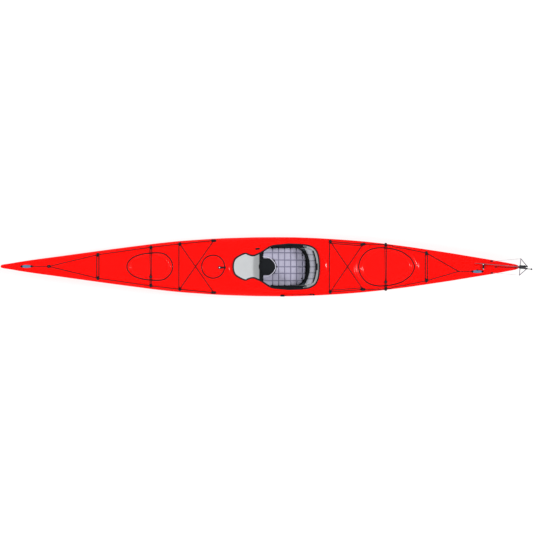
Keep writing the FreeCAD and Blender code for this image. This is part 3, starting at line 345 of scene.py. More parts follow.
# Moulded slate polypropylene of the back rest's frame and the hooks' buttons
SLATE = Finish("moulded_polypropylene_slate", "slate_plastic", "2E3742", "39434F",
               specular=0.25, relief_mm=0.06)
# Grip of moulded elastomer, steel blue
GRIP_BLUE = Finish("moulded_elastomer_blue", "toggle_blue", "547590", "496A84",
                   relief_mm=0.08)
# Anodised aluminium of foot rails and rudder bracket; brushing drawn coarse so that it shows
ALUMINIUM = BrushedMetal("anodised_aluminium", "bare_aluminium", "8B8490", "A29CA8",
                         metallic=0.7, grain_mm=3.0, relief_mm=0.02)
# Screws of the deck fittings, blackened stainless: darker than the wire
BLACKENED = BrushedMetal("blackened_stainless_steel", "steel", "1A1C20", "26292E",
                         metallic=0.4, grain_mm=1.5, relief_mm=0.01)
# The yoke of aluminium wire, duller and darker than the rails
YOKE_GREY = BrushedMetal("dull_aluminium_wire", "bare_aluminium", "6A646E", "7C7680",
                         roughness=0.6, metallic=0.5, relief_mm=0.02)
# Anodised aluminium plate of the rudder's blade, dark grey
BLADE_GREY = BrushedMetal("anodised_aluminium_blade", "bare_aluminium", "3E3C42", "4C4A50",
                          roughness=0.55, metallic=0.3, relief_mm=0.02)
# Stainless wire and fasteners
STEEL = BrushedMetal("stainless_steel", "steel", "B4B4B8", "CCCCD0", roughness=0.3,
                     metallic=1.0, grain_mm=1.5, relief_mm=0.01)
# Braided polyester cord, dark with a wine fleck
CORD_DARK = Braid("braided_polyester_dark", "cordage", "1C0C0E", "38181B", roughness=0.85,
                  specular=0.15, grain_mm=7.0, relief_mm=0.5, place=Place.SURFACE)
# The same cord where it bends: its fleck is a fine noise, as it has no UV map
CORD_PLAIN = Finish("braided_polyester_bend", "cordage", "1C0C0E", "38181B", roughness=0.85,
                    specular=0.15, grain_mm=3.0, relief_mm=0.4)
# Piping: a cord sewn into a pale woven tape
PIPING = WovenCloth("woven_piping_pale", "seat_fabric", "D2D0DE", "C0BED0", roughness=0.85,
                    specular=0.15, grain_mm=2.5, relief_mm=0.2)
# Woven polyester of the seat; threads drawn coarse so that they show
SEAT_CLOTH = WovenCloth("woven_polyester_lilac", "seat_fabric", "B0ADC1", "9F9CB1",
                        roughness=0.9, specular=0.15, grain_mm=3.0, relief_mm=0.2)
# Lighter cloth of the back rest
REST_CLOTH = WovenCloth("woven_polyester_pale", "rest_fabric", "999AA4", "8B8B97",
                        roughness=0.9, specular=0.15, grain_mm=3.0, relief_mm=0.2,
                        thread_and_shade="686873")
# Flat nylon webbing
WEBBING = WovenCloth("nylon_webbing_slate", "webbing", "303A46", "3C4755", roughness=0.8,
                     specular=0.2, grain_mm=2.5, relief_mm=0.3)


def merged(mesh: bpy.types.Mesh, distance: float, outward: bool) -> None:
    """Merge a mesh's doubles and, for a closed one, turn its faces outward."""
    work = bmesh.new()
    work.from_mesh(mesh)
    bmesh.ops.remove_doubles(work, verts=work.verts, dist=distance)
    bmesh.ops.dissolve_degenerate(work, edges=work.edges, dist=distance / 4)
    if outward:
        bmesh.ops.recalc_face_normals(work, faces=work.faces)
    work.to_mesh(mesh)
    work.free()


def piece(name: str, vertices: Array, faces: Sequence, finish: Finish | None,
          sharp: float = 40.0, merge: float = MERGE, outward: bool = True,
          uv: Array | None = None) -> Object:
    """Make a mesh object at the origin from arrays.

    Args:
        name: The object's name.
        vertices: Points, (n, 3).
        faces: Corner numbers of each face.
        finish: The finish that it is dressed in, or None to dress it later.
        sharp: Angle in degrees above which an edge is sharp.
        merge: How near two vertices are to be one.
        outward: True where the mesh is closed and its normals are recalculated.
        uv: UV of each vertex, (n, 2), for finishes that follow the surface.

    Returns:
        The new object.
    """
    mesh = bpy.data.meshes.new(name)
    mesh.from_pydata(vertices.tolist(), [], [list(map(int, f)) for f in faces])
    if uv is not None:
        corner = np.zeros(len(mesh.loops), np.int32)
        mesh.loops.foreach_get("vertex_index", corner)
        mesh.uv_layers.new(name="UVMap").data.foreach_set("uv", uv[corner].ravel())
    merged(mesh, merge, outward)
    mesh.polygons.foreach_set("use_smooth", np.ones(len(mesh.polygons), bool))
    mesh.set_sharp_from_angle(angle=math.radians(sharp))
    made = linked(name, mesh)
    if finish:
        dress(made, finish)
    return made


def linked(name: str, data: bpy.types.ID) -> Object:
    """Make an object of a mesh, lamp or camera and link it to the scene."""
    made = bpy.data.objects.new(name, data)
    bpy.context.scene.collection.objects.link(made)
    return made


def dress(made: Object, *finishes: Finish) -> None:
    """Give an object its finishes, one a material slot."""
    made.data.materials.clear()
    for finish in finishes:
        made.data.materials.append(finish.material())


def turns(count: int) -> Array:
    """Angles of even steps round a full turn, its end left off."""
    return np.linspace(0, 2 * np.pi, count, endpoint=False)


def quads(rows: int, columns: int, round_rows: bool = False, round_columns: bool = False) -> Array:
    """Corner numbers of the faces of a grid of points.

    Args:
        rows: Points along the first side.
        columns: Points along the second side.
        round_rows: True where the last row joins the first.
        round_columns: True where the last column joins the first.

    Returns:
        Faces, (k, 4).
    """
    i = np.arange(rows if round_rows else rows - 1)[:, None]
    j = np.arange(columns if round_columns else columns - 1)[None, :]
    ni, nj = (i + 1) % rows, (j + 1) % columns
    return np.stack([i * columns + j, ni * columns + j, ni * columns + nj,
                     i * columns + nj], -1).reshape(-1, 4)


def closed_grid(name: str, points: Array, finish: Finish, sharp: float = 40.0) -> Object:
    """A tube of rings, (rings, points a ring, 3), closed by a fan at each end."""
    rings, around = points.shape[:2]
    faces = list(quads(rings, around, round_columns=True))
    poles = np.stack([points[0].mean(0), points[-1].mean(0)])
    step = np.arange(around)
    after = (step + 1) % around
    count = rings * around
    faces += [(count, b, a) for a, b in zip(step, after)]
    low = (rings - 1) * around
    faces += [(count + 1, low + a, low + b) for a, b in zip(step, after)]
    return piece(name, np.vstack([points.reshape(-1, 3), poles]), faces, finish, sharp)


def closed_ring(name: str, points: Array, finish: Finish) -> Object:
    """A ring from a grid of points, (n, m, 3), whose rows and columns both close."""
    return piece(name, points.reshape(-1, 3), quads(*points.shape[:2], True, True), finish, 50.0)


def smooth_loop(points: Array, count: int) -> Array:
    """Closed Catmull-Rom curve: each span is the cubic through its ends whose slopes are
    half the chord of the neighbours.

    Args:
        points: Points that it passes through, (n, k).
        count: How many even steps of length to return.

    Returns:
        Points along the curve, (count, k).
    """
    t = np.linspace(0, 1, 40, endpoint=False)[None, :, None]
    a, b, c, d = (np.roll(points, s, 0)[:, None, :] for s in (1, 0, -1, -2))
    fine = 0.5 * (2 * b + (c - a) * t + (2 * a - 5 * b + 4 * c - d) * t ** 2
                  + (3 * b - a - 3 * c + d) * t ** 3)
    return even_steps(fine.reshape(-1, points.shape[1]), count)


def unit(vectors: Array) -> Array:
    """Vectors brought to length one."""
    return vectors / np.linalg.norm(vectors, axis=-1, keepdims=True)


def lengths(path: Array) -> Array:
    """Length of a path up to each of its points."""
    return np.r_[0, np.cumsum(np.linalg.norm(np.diff(path, axis=0), axis=1))]


def even_steps(points: Array, count: int) -> Array:
    """Points at even distances round a closed line, from its first point."""
    closed = np.vstack([points, points[:1]])
    run = lengths(closed)
    want = np.linspace(0, run[-1], count, endpoint=False)
    return np.stack([np.interp(want, run, closed[:, k]) for k in range(points.shape[1])], -1)


def inward(loop: Array) -> Array:
    """Unit vectors in plan that point into a closed loop, (n, 2)."""
    along = unit(np.roll(loop, -1, 0) - np.roll(loop, 1, 0))
    left = np.stack([-along[:, 1], along[:, 0]], -1)
    x, y = loop[:, 0], loop[:, 1]
    area = np.sum(x * np.roll(y, -1) - y * np.roll(x, -1))
    return left if area > 0 else -left


def frames(path: Array) -> tuple[Array, Array]:
    """Two unit vectors square to a path at each point: across it, and across both."""
    along = unit(np.gradient(path, axis=0))
    up, flat = np.array([0.0, 0.0, 1.0]), np.array([0.0, 1.0, 0.0])
    guide = np.where(np.abs(along @ up)[:, None] > STEEP, flat, up)
    side = unit(np.cross(along, guide))
    return side, np.cross(side, along)


def tube(name: str, paths: Sequence[Array], radius: float, finish: Finish,
         sides: int = 10) -> Object:
    """Cords along paths: a circle of the radius carried square to each, ends closed.

    Args:
        name: The object's name.
        paths: Points of the centrelines, each (n, 3).
        radius: Half the diameter.
        finish: Its finish; the UV map runs once round and by the metre along a cord.
        sides: Points round it.

    Returns:
        One object with all the cords.
    """
    points, faces, uvs, start = [], [], [], 0
    turn = np.linspace(0, 2 * np.pi, sides + 1)
    for path in paths:
        side, up = frames(path)
        run = lengths(path)
        ring = (path[:, None, :] + radius * (np.cos(turn)[None, :, None] * side[:, None, :]
                + np.sin(turn)[None, :, None] * up[:, None, :]))
        uv = np.stack(np.broadcast_arrays(turn[None, :] / (2 * np.pi), run[:, None]), -1)
        n, m = ring.shape[:2]
        points += [ring.reshape(-1, 3), path[:1], path[-1:]]
        uvs += [uv.reshape(-1, 2), [[0.5, 0.0], [0.5, run[-1]]]]
        step = np.arange(m - 1)
        faces += [tuple(f) for f in quads(n, m)[:, ::-1] + start]
        faces += [(start + n * m, start + a, start + a + 1) for a in step]
        low = start + (n - 1) * m
        faces += [(start + n * m + 1, low + a + 1, low + a) for a in step]
        start += n * m + 2
    return piece(name, np.vstack(points), faces, finish, 60.0, uv=np.vstack(uvs))


def plate(name: str, loop: Array, low: float, high: float, edge: float, finish: Finish,
          place: Placer, crown: float = 0.0, foot: float = 0.0) -> Object:
    """Solid over an outline in plan: upright side, top edge rounded by a quarter circle,
    top crowned by crown times one minus the square of the share out from the middle.

    Args:
        name: The object's name.
        loop: Outline, (n, 2).
        low: Level of the foot.
        high: Level of the top's edge.
        edge: Radius of the rounding.
        finish: Its finish.
        place: Moves the finished points to where they belong.
        crown: How far the middle stands over the edge.
        foot: How much the foot stands out from the side.

    Returns:
        The closed object.
    """
    into = inward(loop)
    middle = loop.mean(0)
    turn = np.linspace(0, np.pi / 2, 6)
    rows = [(-foot, low), (-foot, low + foot * 0.6), (0.0, low + foot * 1.4)]
    rows += [(edge * (1 - math.cos(t)), high - edge + edge * math.sin(t)) for t in turn]
    rings = [np.c_[loop + into * inset, np.full(len(loop), z)] for inset, z in rows]
    rim = rings[-1]
    for share in (0.8, 0.55, 0.3, 0.1):
        plan = middle + (rim[:, :2] - middle) * share
        rings.append(np.c_[plan, np.full(len(loop), high + crown * (1 - share ** 2))])
    base = rings[0].copy()
    base[:, :2] = middle + (base[:, :2] - middle) * 0.3
    points = np.stack([base] + rings)
    return closed_grid(name, place(points.reshape(-1, 3)).reshape(points.shape), finish)


def stadium(length: float, width: float) -> Array:
    """Outline of 40 points with straight sides and half round ends, along X, centred."""
    half = (length - width) / 2
    turn = np.linspace(-np.pi / 2, 1.5 * np.pi, 40, endpoint=False)
    shift = np.where(np.cos(turn) >= 0, half, -half)
    return np.stack([shift + width / 2 * np.cos(turn), width / 2 * np.sin(turn)], -1)


def soft_box(name: str, low: Sequence[float], high: Sequence[float], radius: float,
             finish: Finish) -> Object:
    """Box with rounded edges and corners: a sphere's points, pushed out to the corners of
    the box less the radius."""
    low, high = np.array(low, float), np.array(high, float)
    lat = np.linspace(-np.pi / 2, np.pi / 2, 14)
    lon = turns(24)
    ball = np.stack(np.broadcast_arrays(np.cos(lat)[:, None] * np.cos(lon)[None, :],
                                        np.cos(lat)[:, None] * np.sin(lon)[None, :],
                                        np.sin(lat)[:, None]), -1)
    core = (high - low) / 2 - radius
    signs = np.where(ball >= -1e-9, 1.0, -1.0)
    points = (low + high) / 2 + signs * core + ball * radius
    return closed_grid(name, points, finish, 50.0)


def revolve(name: str, profile: Array, centre: Sequence[float], finish: Finish,
            sides: int = 32) -> Object:
    """Turned form: a profile of (radius, height) carried round an upright axis."""
    turn = turns(sides)
    ring = np.stack([profile[:, :1] * np.cos(turn), profile[:, :1] * np.sin(turn),
                     np.repeat(profile[:, 1:], sides, 1)], -1)
    return closed_grid(name, ring + np.array(centre), finish)


def puffed(name: str, vertices: Array, faces: Sequence, voxel: float, pressure: float,
           cap: float) -> Object:
    """Cushion from a closed form: remeshed, blown up as cloth, capped and subdivided once.

    Args:
        name: The object's name.
        vertices: Points of the closed form.
        faces: Its faces.
        voxel: Size of the remesh's cells.
        pressure: Air pressure of the cloth.
        cap: The furthest that a point may move.

    Returns:
        The cushion, with no modifier left on it.
    """
    made = piece(name, vertices, faces, None)
    baked(made, "REMESH", mode="VOXEL", voxel_size=voxel)
    before = coordinates(made)
    cloth = made.modifiers.new("puff", "CLOTH")
    cloth.settings.use_pressure = True
    cloth.settings.uniform_pressure_force = pressure
    cloth.settings.effector_weights.gravity = 0
    cloth.point_cache.frame_start = 1
    cloth.point_cache.frame_end = PUFF_FRAMES
    scene = bpy.context.scene
    for frame in range(1, PUFF_FRAMES + 1):
        scene.frame_set(frame)
        bpy.context.view_layer.update()
    blown = coordinates(made.evaluated_get(bpy.context.evaluated_depsgraph_get()))
    made.modifiers.clear()
    scene.frame_set(1)
    shift = blown - before
    far = np.linalg.norm(shift, axis=1, keepdims=True)
    shift *= np.minimum(1.0, cap / np.maximum(far, 1e-9))
    put(made, before + shift)
    baked(made, "SUBSURF", levels=1, render_levels=1)
    made.data.polygons.foreach_set("use_smooth", np.ones(len(made.data.polygons), bool))
    return made


def baked(made: Object, kind: str, **settings: object) -> None:
    """Add a modifier to an object and apply it to its mesh."""
    change = made.modifiers.new(kind.lower(), kind)
    for key, value in settings.items():
        setattr(change, key, value)
    bpy.context.view_layer.update()
    view = made.evaluated_get(bpy.context.evaluated_depsgraph_get())
    fresh = bpy.data.meshes.new_from_object(view)
    made.modifiers.clear()
    made.data = fresh


def coordinates(made: Object, what: str = "co") -> Array:
    """An object's vertices as an array, (n, 3), or with "normal" their unit normals."""
    flat = np.zeros(len(made.data.vertices) * 3, np.float32)
    made.data.vertices.foreach_get(what, flat)
    return flat.reshape(-1, 3).astype(float)


def mesh_of(node: Object) -> tuple[Array, list]:
    """Points and faces of a node."""
    return coordinates(node), [tuple(face.vertices) for face in node.data.polygons]


def put(made: Object, points: Array) -> None:
    """Set an object's vertices from an array."""
    made.data.vertices.foreach_set("co", points.astype(np.float32).ravel())
    made.data.update()


def steady_curve(table: Table) -> Callable[[Array], Array]:
    """Smooth function through a table: cubic spans whose slopes are the harmonic mean of
    their neighbours' rises, or level at a turning point, so that it never overshoots."""
    xs, ys = np.array(table, float).T
    steps = np.diff(xs)
    rises = np.diff(ys) / steps
    slopes = np.r_[rises[0], np.zeros(len(xs) - 2), rises[-1]]
    a, b = 2 * steps[1:] + steps[:-1], steps[1:] + 2 * steps[:-1]
    same = rises[:-1] * rises[1:] > 0
    inner = np.zeros(len(same))
    inner[same] = (a + b)[same] / (a[same] / rises[:-1][same] + b[same] / rises[1:][same])
    slopes[1:-1] = inner

    def value(share: Array) -> Array:
        """Read the curve at an array of shares."""
        share = np.clip(share, xs[0], xs[-1])
        i = np.clip(np.searchsorted(xs, share, side="right") - 1, 0, len(xs) - 2)
        t = (share - xs[i]) / steps[i]
        return ((1 + 2 * t) * (1 - t) ** 2 * ys[i] + t * (1 - t) ** 2 * steps[i] * slopes[i]
                + t * t * (3 - 2 * t) * ys[i + 1] + t * t * (t - 1) * steps[i] * slopes[i + 1])

    return value


HULL_TABLES: dict[str, Table] = {
    "beam": [(0, 0.03), (0.002, 0.05), (0.006, 0.068), (0.0174, 0.097), (0.0367, 0.155),
             (0.0754, 0.255), (0.114, 0.345), (0.153, 0.44), (0.191, 0.531), (0.23, 0.623),
             (0.269, 0.711), (0.307, 0.794), (0.346, 0.865), (0.385, 0.915), (0.423, 0.956),
             (0.462, 0.981), (0.5, 0.997), (0.53, 1), (0.56, 0.998), (0.597, 0.98),
             (0.636, 0.944), (0.674, 0.9), (0.713, 0.839), (0.752, 0.761), (0.79, 0.675),
             (0.829, 0.575), (0.868, 0.472), (0.906, 0.362), (0.945, 0.249), (0.984, 0.125),
             (0.995, 0.085), (1, 0.05)],
    "keel": [(0, 0.862), (0.004, 0.77), (0.012, 0.62), (0.03, 0.42), (0.06, 0.235),
             (0.1, 0.115), (0.16, 0.045), (0.25, 0.012), (0.35, -0.006), (0.65, -0.006),
             (0.78, 0.012), (0.86, 0.045), (0.92, 0.11), (0.955, 0.19), (0.98, 0.3),
             (0.992, 0.41), (1, 0.53)],
    "seam": [(0, 0.966), (0.05, 0.925), (0.1, 0.885), (0.2, 0.816), (0.3, 0.764),
             (0.4, 0.724), (0.5, 0.698), (0.6, 0.69), (0.7, 0.695), (0.8, 0.713),
             (0.9, 0.747), (1, 0.793)],
    "crown": [(0, 1.012), (0.05, 0.994), (0.1, 0.986), (0.2, 0.977), (0.3, 0.977),
              (0.38, 0.989), (0.446, 1), (0.5, 0.965), (0.56, 0.89), (0.62, 0.82),
              (0.7, 0.8), (0.8, 0.805), (0.9, 0.828), (1, 0.856)],
    "hull_across": [(0, 1.6), (0.06, 1.5), (0.15, 1.8), (0.3, 2.3), (0.5, 2.6), (0.7, 2.4),
                    (0.85, 1.9), (0.94, 1.6), (1, 1.6)],
    "hull_down": [(0, 1.5), (0.06, 1.5), (0.15, 1.8), (0.3, 2.2), (0.5, 2.4), (0.7, 2.2),
                  (0.85, 1.8), (0.94, 1.5), (1, 1.5)],
    "deck_across": [(0, 2), (0.45, 2.2), (0.6, 2.6), (1, 2.2)],
    "deck_up": [(0, 1.6), (0.45, 1.7), (0.6, 1.9), (1, 1.8)],
}
COCKPIT_HALF: Table = [(0, 0), (0.006, 0.19), (0.03, 0.375), (0.096, 0.532), (0.152, 0.607),
                       (0.184, 0.549), (0.237, 0.502), (0.285, 0.567), (0.329, 0.648),
                       (0.382, 0.781), (0.43, 0.893), (0.482, 0.944), (0.595, 0.983),
                       (0.638, 1), (0.734, 0.991), (0.821, 0.97), (0.887, 0.918),
                       (0.939, 0.811), (0.97, 0.665), (0.992, 0.403), (1, 0)]
BOW_HATCH_HALF: Table = [(0, 0), (0.026, 0.315), (0.111, 0.615), (0.22, 0.797),
                         (0.363, 0.923), (0.49, 0.972), (0.642, 1), (0.785, 0.951),
                         (0.885, 0.755), (0.962, 0.448), (1, 0)]
STERN_HATCH_HALF: Table = [(0, 0), (0.035, 0.405), (0.116, 0.728), (0.207, 0.903),
                           (0.327, 0.99), (0.439, 1), (0.59, 0.949), (0.742, 0.831),
                           (0.842, 0.667), (0.944, 0.405), (1, 0)]
CIRCLE_HALF: Table = [((1 - math.cos(math.pi * i / 16)) / 2, math.sin(math.pi * i / 16))
                      for i in range(17)]


@dataclass
class Outline:
    """Closed outline in plan, from its front point round by starboard."""

    front: float
    length: float
    width: float
    half: Table
    count: int = 96

    def loop(self, inset: float = 0.0) -> Array:
        """Points of the outline, (count, 2), moved in by inset, or out where it is below 0."""
        side = np.array([(self.front + u * self.length, w * self.width / 2)
                         for u, w in self.half])
        other = side[1:-1][::-1] * (1, -1)
        loop = smooth_loop(np.vstack([side, other]), self.count)
        return loop + inward(loop) * inset

    def middle(self) -> Array:
        """Middle of the outline in plan."""
        return np.array([self.front + self.length / 2, 0.0])


@dataclass
class HullForm:
    """The boat's surfaces as functions of place: rounded sections along tables of shares.

    A section's half is y = b cos(t)^(2/p), z = seam + depth sin(t)^(2/q). The apron is given
    by its middle, half length, half width and height, and the swell by its distance from
    the stern hatch, its spread and its height."""

    length: float = 5.18
    bow: float = -2.658
    beam: float = 0.592
    peak: float = 0.348
    wall: float = 0.005
    tip: float = 0.0022
    apron: tuple[float, float, float, float] = (0.115, 0.495, 0.252, 0.006)
    apron_step: float = 0.07
    swell: tuple[float, float, float] = (0.030, 0.010, 0.007)
    swell_reach: float = 0.08
    swell_across: float = 0.93
    curves: dict = field(init=False)
    cockpit: Outline = field(init=False)
    hatches: dict[str, Outline] = field(init=False)
    ring: Array = field(init=False)

    def __post_init__(self) -> None:
        """Read the tables and lay out the four openings: front, length, width, half form."""
        self.curves = {name: steady_curve(table) for name, table in HULL_TABLES.items()}
        self.cockpit = Outline(self.at(0.4475), 0.875, 0.466, COCKPIT_HALF, 144)
        self.hatches = {
            "bow_hatch": Outline(self.at(0.2429), 0.469, 0.286, BOW_HATCH_HALF),
            "stern_hatch": Outline(self.at(0.69), 0.569, 0.392, STERN_HATCH_HALF),
            "day_hatch": Outline(self.at(0.387), 0.24, 0.24, CIRCLE_HALF, 80)}
        self.ring = self.hatches["stern_hatch"].loop()

    def at(self, share: float) -> float:
        """Place along the boat of a share of its length."""
        return self.bow + share * self.length

    def read(self, name: str, x: Array) -> Array:
        """Read one of the tables at places along the boat."""
        return self.curves[name]((np.asarray(x, float) - self.bow) / self.length)

    def half_beam(self, x: Array, rounded: bool = False) -> Array:
        """Half the beam; rounded, as the shown skin is, it closes at both tips as a quarter
        circle does."""
        half = self.read("beam", x) * self.beam / 2
        if rounded:
            share = (np.asarray(x) - self.bow) / self.length
            from_tip = np.minimum(share, 1 - share) / self.tip
            half = half * np.sqrt(1 - (1 - np.clip(from_tip, 0, 1)) ** 2)
        return half

    def seam(self, x: Array) -> Array:
        """Height of the seam between hull and deck."""
        return self.read("seam", x) * self.peak

    def relief(self, x: Array, y: Array) -> Array:
        """Moulded forms on the deck: a low apron round the cockpit, a smooth step inside
        an oval, and a round swell at a set distance outside the stern hatch."""
        middle, long, wide, high = self.apron
        inside = 1 - ((x - middle) / long) ** 2 - (y / wide) ** 2
        t = np.clip(inside / self.apron_step, 0, 1)
        height = high * t * t * (3 - 2 * t)
        off, spread, swell = self.swell
        near = ((x > self.ring[:, 0].min() - self.swell_reach)
                & (x < self.ring[:, 0].max() + self.swell_reach)
                & (np.abs(y) < self.swell_across * self.half_beam(x)))
        if np.any(near):
            spots = np.stack([x[near], y[near]], -1)
            away = np.sqrt(((spots[:, None, :] - self.ring[None, :, :]) ** 2).sum(-1)).min(1)
            out = ~self.inside_ring(spots)
            height[near] += np.where(out, swell * np.exp(-((away - off) / spread) ** 2), 0)
        return height

    def inside_ring(self, spots: Array) -> Array:
        """Whether points lie inside the stern hatch's outline."""
        half = self.ring[:len(self.ring) // 2 + 1]
        width = np.interp(spots[:, 0], half[:, 0], half[:, 1], left=0, right=0)
        return np.abs(spots[:, 1]) < width

    def deck(self, x: Array, y: Array) -> Array:
        """Height of the deck over places in plan."""
        x, y = np.broadcast_arrays(np.asarray(x, float), np.asarray(y, float))
        shape = x.shape
        x, y = x.ravel(), y.ravel()
        rim = self.seam(x)
        across = np.clip(np.abs(y) / self.half_beam(x), 0, 1)
        level = np.clip(1 - across ** self.read("deck_across", x), 0, 1)
        height = rim + (self.read("crown", x) * self.peak - rim) * level ** (
            1 / self.read("deck_up", x))
        return (height + self.relief(x, y)).reshape(shape)

    def normal(self, x: Array, y: Array) -> Array:
        """Unit vectors square to the deck, from its slopes over 2 mm."""
        d = 0.001
        dx = (self.deck(np.add(x, d), y) - self.deck(np.subtract(x, d), y)) / (2 * d)
        dy = (self.deck(x, np.add(y, d)) - self.deck(x, np.subtract(y, d))) / (2 * d)
        return unit(np.stack([-dx, -dy, np.ones_like(dx)], -1))

    def over(self, x: Array, y: Array, lift: float) -> Array:
        """Points at a distance from the deck, square to it."""
        x, y = np.broadcast_arrays(np.asarray(x, float), np.asarray(y, float))
        return np.stack([x, y, self.deck(x, y)], -1) + self.normal(x, y) * lift

    def pair(self, share: float, across: float, side: int) -> Array:
        """Place in plan of one of a pair of deck fittings."""
        x = self.at(share)
        return np.array([x, side * across * float(self.half_beam(x))])

    def run(self, start: Sequence[float], end: Sequence[float], lift: float,
            count: int = 40) -> Array:
        """Path over the deck, (count, 3), straight in plan and at a distance from the deck."""
        t = np.linspace(0, 1, count)
        x = start[0] + (end[0] - start[0]) * t
        y = start[1] + (end[1] - start[1]) * t
        return self.over(x, y, lift)

    def edging(self, name: str, outline: Outline, profile: Sequence[tuple[float, float]],
               finish: Finish) -> Object:
        """Ring along an outline.

        Args:
            name: The object's name.
            outline: The outline.
            profile: Corners of its section, each the inset and the height over the deck.
            finish: Its finish.

        Returns:
            The closed object.
        """
        loop = outline.loop()
        inset, lift = np.array(profile).T
        spots = loop[:, None, :] + inward(loop)[:, None, :] * inset[None, :, None]
        base = self.deck(spots[..., 0], spots[..., 1])
        return closed_ring(name, np.concatenate([spots, (base + lift)[..., None]], -1), finish)

    def placer(self, x: float, y: float, turn: float = 0.0) -> Placer:
        """Function that sets a form, made upright on the origin, square to the deck."""
        n = self.normal(np.array([x]), np.array([y]))[0]
        a = unit(np.cross([0.0, 1.0, 0.0], n))
        b = np.cross(n, a)
        c, s = math.cos(turn), math.sin(turn)
        axes = np.stack([a * c + b * s, -a * s + b * c, n])
        origin = np.array([x, y, float(self.deck(np.array([x]), np.array([y]))[0])])
        return lambda points: points @ axes + origin


@dataclass
class Shell:
    """Hull and deck mouldings of 5 mm polished polyethylene with light insides."""

    form: HullForm
    close: float = 0.006
    far: float = 0.022
    close_from: float = 0.21
    close_to: float = 0.86
    stern_share: float = 0.138
    tip_steps: int = 9
    sections: int = 57
    lip: float = 0.003
    lip_depth: float = 0.006
    cockpit_inset: float = 0.0072
    margin: float = 0.003

    def stations(self) -> Array:
        """Places of the sections, close together where the openings lie and at both tips."""
        f = self.form
        end = f.tip * f.length
        tip = end * (1 - np.cos(np.linspace(0, np.pi / 2, self.tip_steps)))[:-1]
        near, back = (np.r_[tip, np.arange(end, share * f.length, self.far)]
                      for share in (self.close_from, self.stern_share))
        mid = np.arange(f.at(self.close_from), f.at(self.close_to), self.close)
        return np.r_[f.bow + near, mid, (f.bow + f.length - back)[::-1]]

    def build_hull(self) -> Object:
        """Make the hull: sections from seam to seam under the keel, flat on the ground."""
        f = self.form
        x = self.stations()[:, None]
        t = np.linspace(0, np.pi, self.sections)[None, :]
        c, s = np.cos(t), np.clip(np.sin(t), 0, 1)
        y = f.half_beam(x, True) * np.sign(c) * np.abs(c) ** (2 / f.read("hull_across", x))
        rim = f.seam(x)
        z = rim + (f.read("keel", x) * f.peak - rim) * s ** (2 / f.read("hull_down", x))
        points = np.stack([x + 0 * t, y, np.maximum(z, 0)], -1)
        hull = piece("hull_moulding", points.reshape(-1, 3), quads(*points.shape[:2]),
                     None, 50.0, outward=False)
        return self.finished(hull, "hull_shell", SHELL_RED)

    def finished(self, made: Object, node: str, finish: Finish) -> Object:
        """Give a skin its wall and both its colours, and let it stand for its node."""
        dress(made, finish, INSIDE_GREY)
        wall = made.modifiers.new("wall", "SOLIDIFY")
        wall.thickness = self.form.wall
        wall.offset = -1
        wall.material_offset = 1
        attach(made, "boat")
        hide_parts(node)
        return made

    def build_deck(self) -> Object:
        """Make the deck: each section runs from the seam to the centre or to an opening,
        and each opening's edge rolls down."""
        f = self.form
        cuts = [f.cockpit.loop(self.cockpit_inset)]
        cuts += [hatch.loop(-self.lip) for hatch in f.hatches.values()]
        x = self.stations()
        for cut in cuts:
            x = x[(x < cut[:, 0].min() - self.margin) | (x > cut[:, 0].max() + self.margin)]
        width = np.zeros(len(x))
        for cut in cuts:
            half = cut[:len(cut) // 2 + 1]
            x, width = np.r_[x, half[:, 0]], np.r_[width, np.maximum(half[:, 1], 0)]
        order = np.argsort(x, kind="stable")
        x, width = x[order][:, None], width[order][:, None]
        beam, power = f.half_beam(x, True), f.read("deck_across", x)
        last = np.arccos(np.clip(width / np.maximum(beam, 1e-6), 0, 1) ** (power / 2))
        t = last * np.linspace(0, 1, self.sections // 2)[None, :]
        y = beam * np.clip(np.cos(t), 0, 1) ** (2 / power)
        y[:, -1] = width[:, 0]
        rim = f.seam(x)
        z = rim + (f.read("crown", x) * f.peak - rim) * np.clip(np.sin(t), 0, 1) ** (
            2 / f.read("deck_up", x))
        z = z + f.relief((x + 0 * t).ravel(), y.ravel()).reshape(z.shape)
        half = np.stack([x + 0 * t, y, z], -1)
        faces = quads(*half.shape[:2])
        count = half.shape[0] * half.shape[1]
        points = [half.reshape(-1, 3), half.reshape(-1, 3) * (1, -1, 1)]
        every = [faces[:, ::-1], faces + count]
        start = 2 * count
        for cut in cuts:
            rows = self.lip_rows(cut)
            points.append(rows.reshape(-1, 3))
            every.append(quads(*rows.shape[:2], round_columns=True) + start)
            start += rows.shape[0] * rows.shape[1]
        deck = piece("deck_moulding", np.vstack(points), np.vstack(every), None, 35.0,
                     merge=2e-5, outward=False)
        return self.finished(deck, "deck_shell", SHELL_RED)

    def lip_rows(self, cut: Array) -> Array:
        """Rows of the rolled edge of an opening: a quarter circle, then straight down."""
        into = inward(cut)
        turn = np.linspace(0, np.pi / 2, 5)
        plan = self.lip * np.sin(turn)
        drop = self.lip * (1 - np.cos(turn))
        plan, drop = np.r_[plan, plan[-1]], np.r_[drop, self.lip_depth]
        spots = cut[None] + into[None] * plan[:, None, None]
        base = self.form.deck(cut[:, 0], cut[:, 1])
        return np.concatenate([spots, (base[None, :] - drop[:, None])[..., None]], -1)


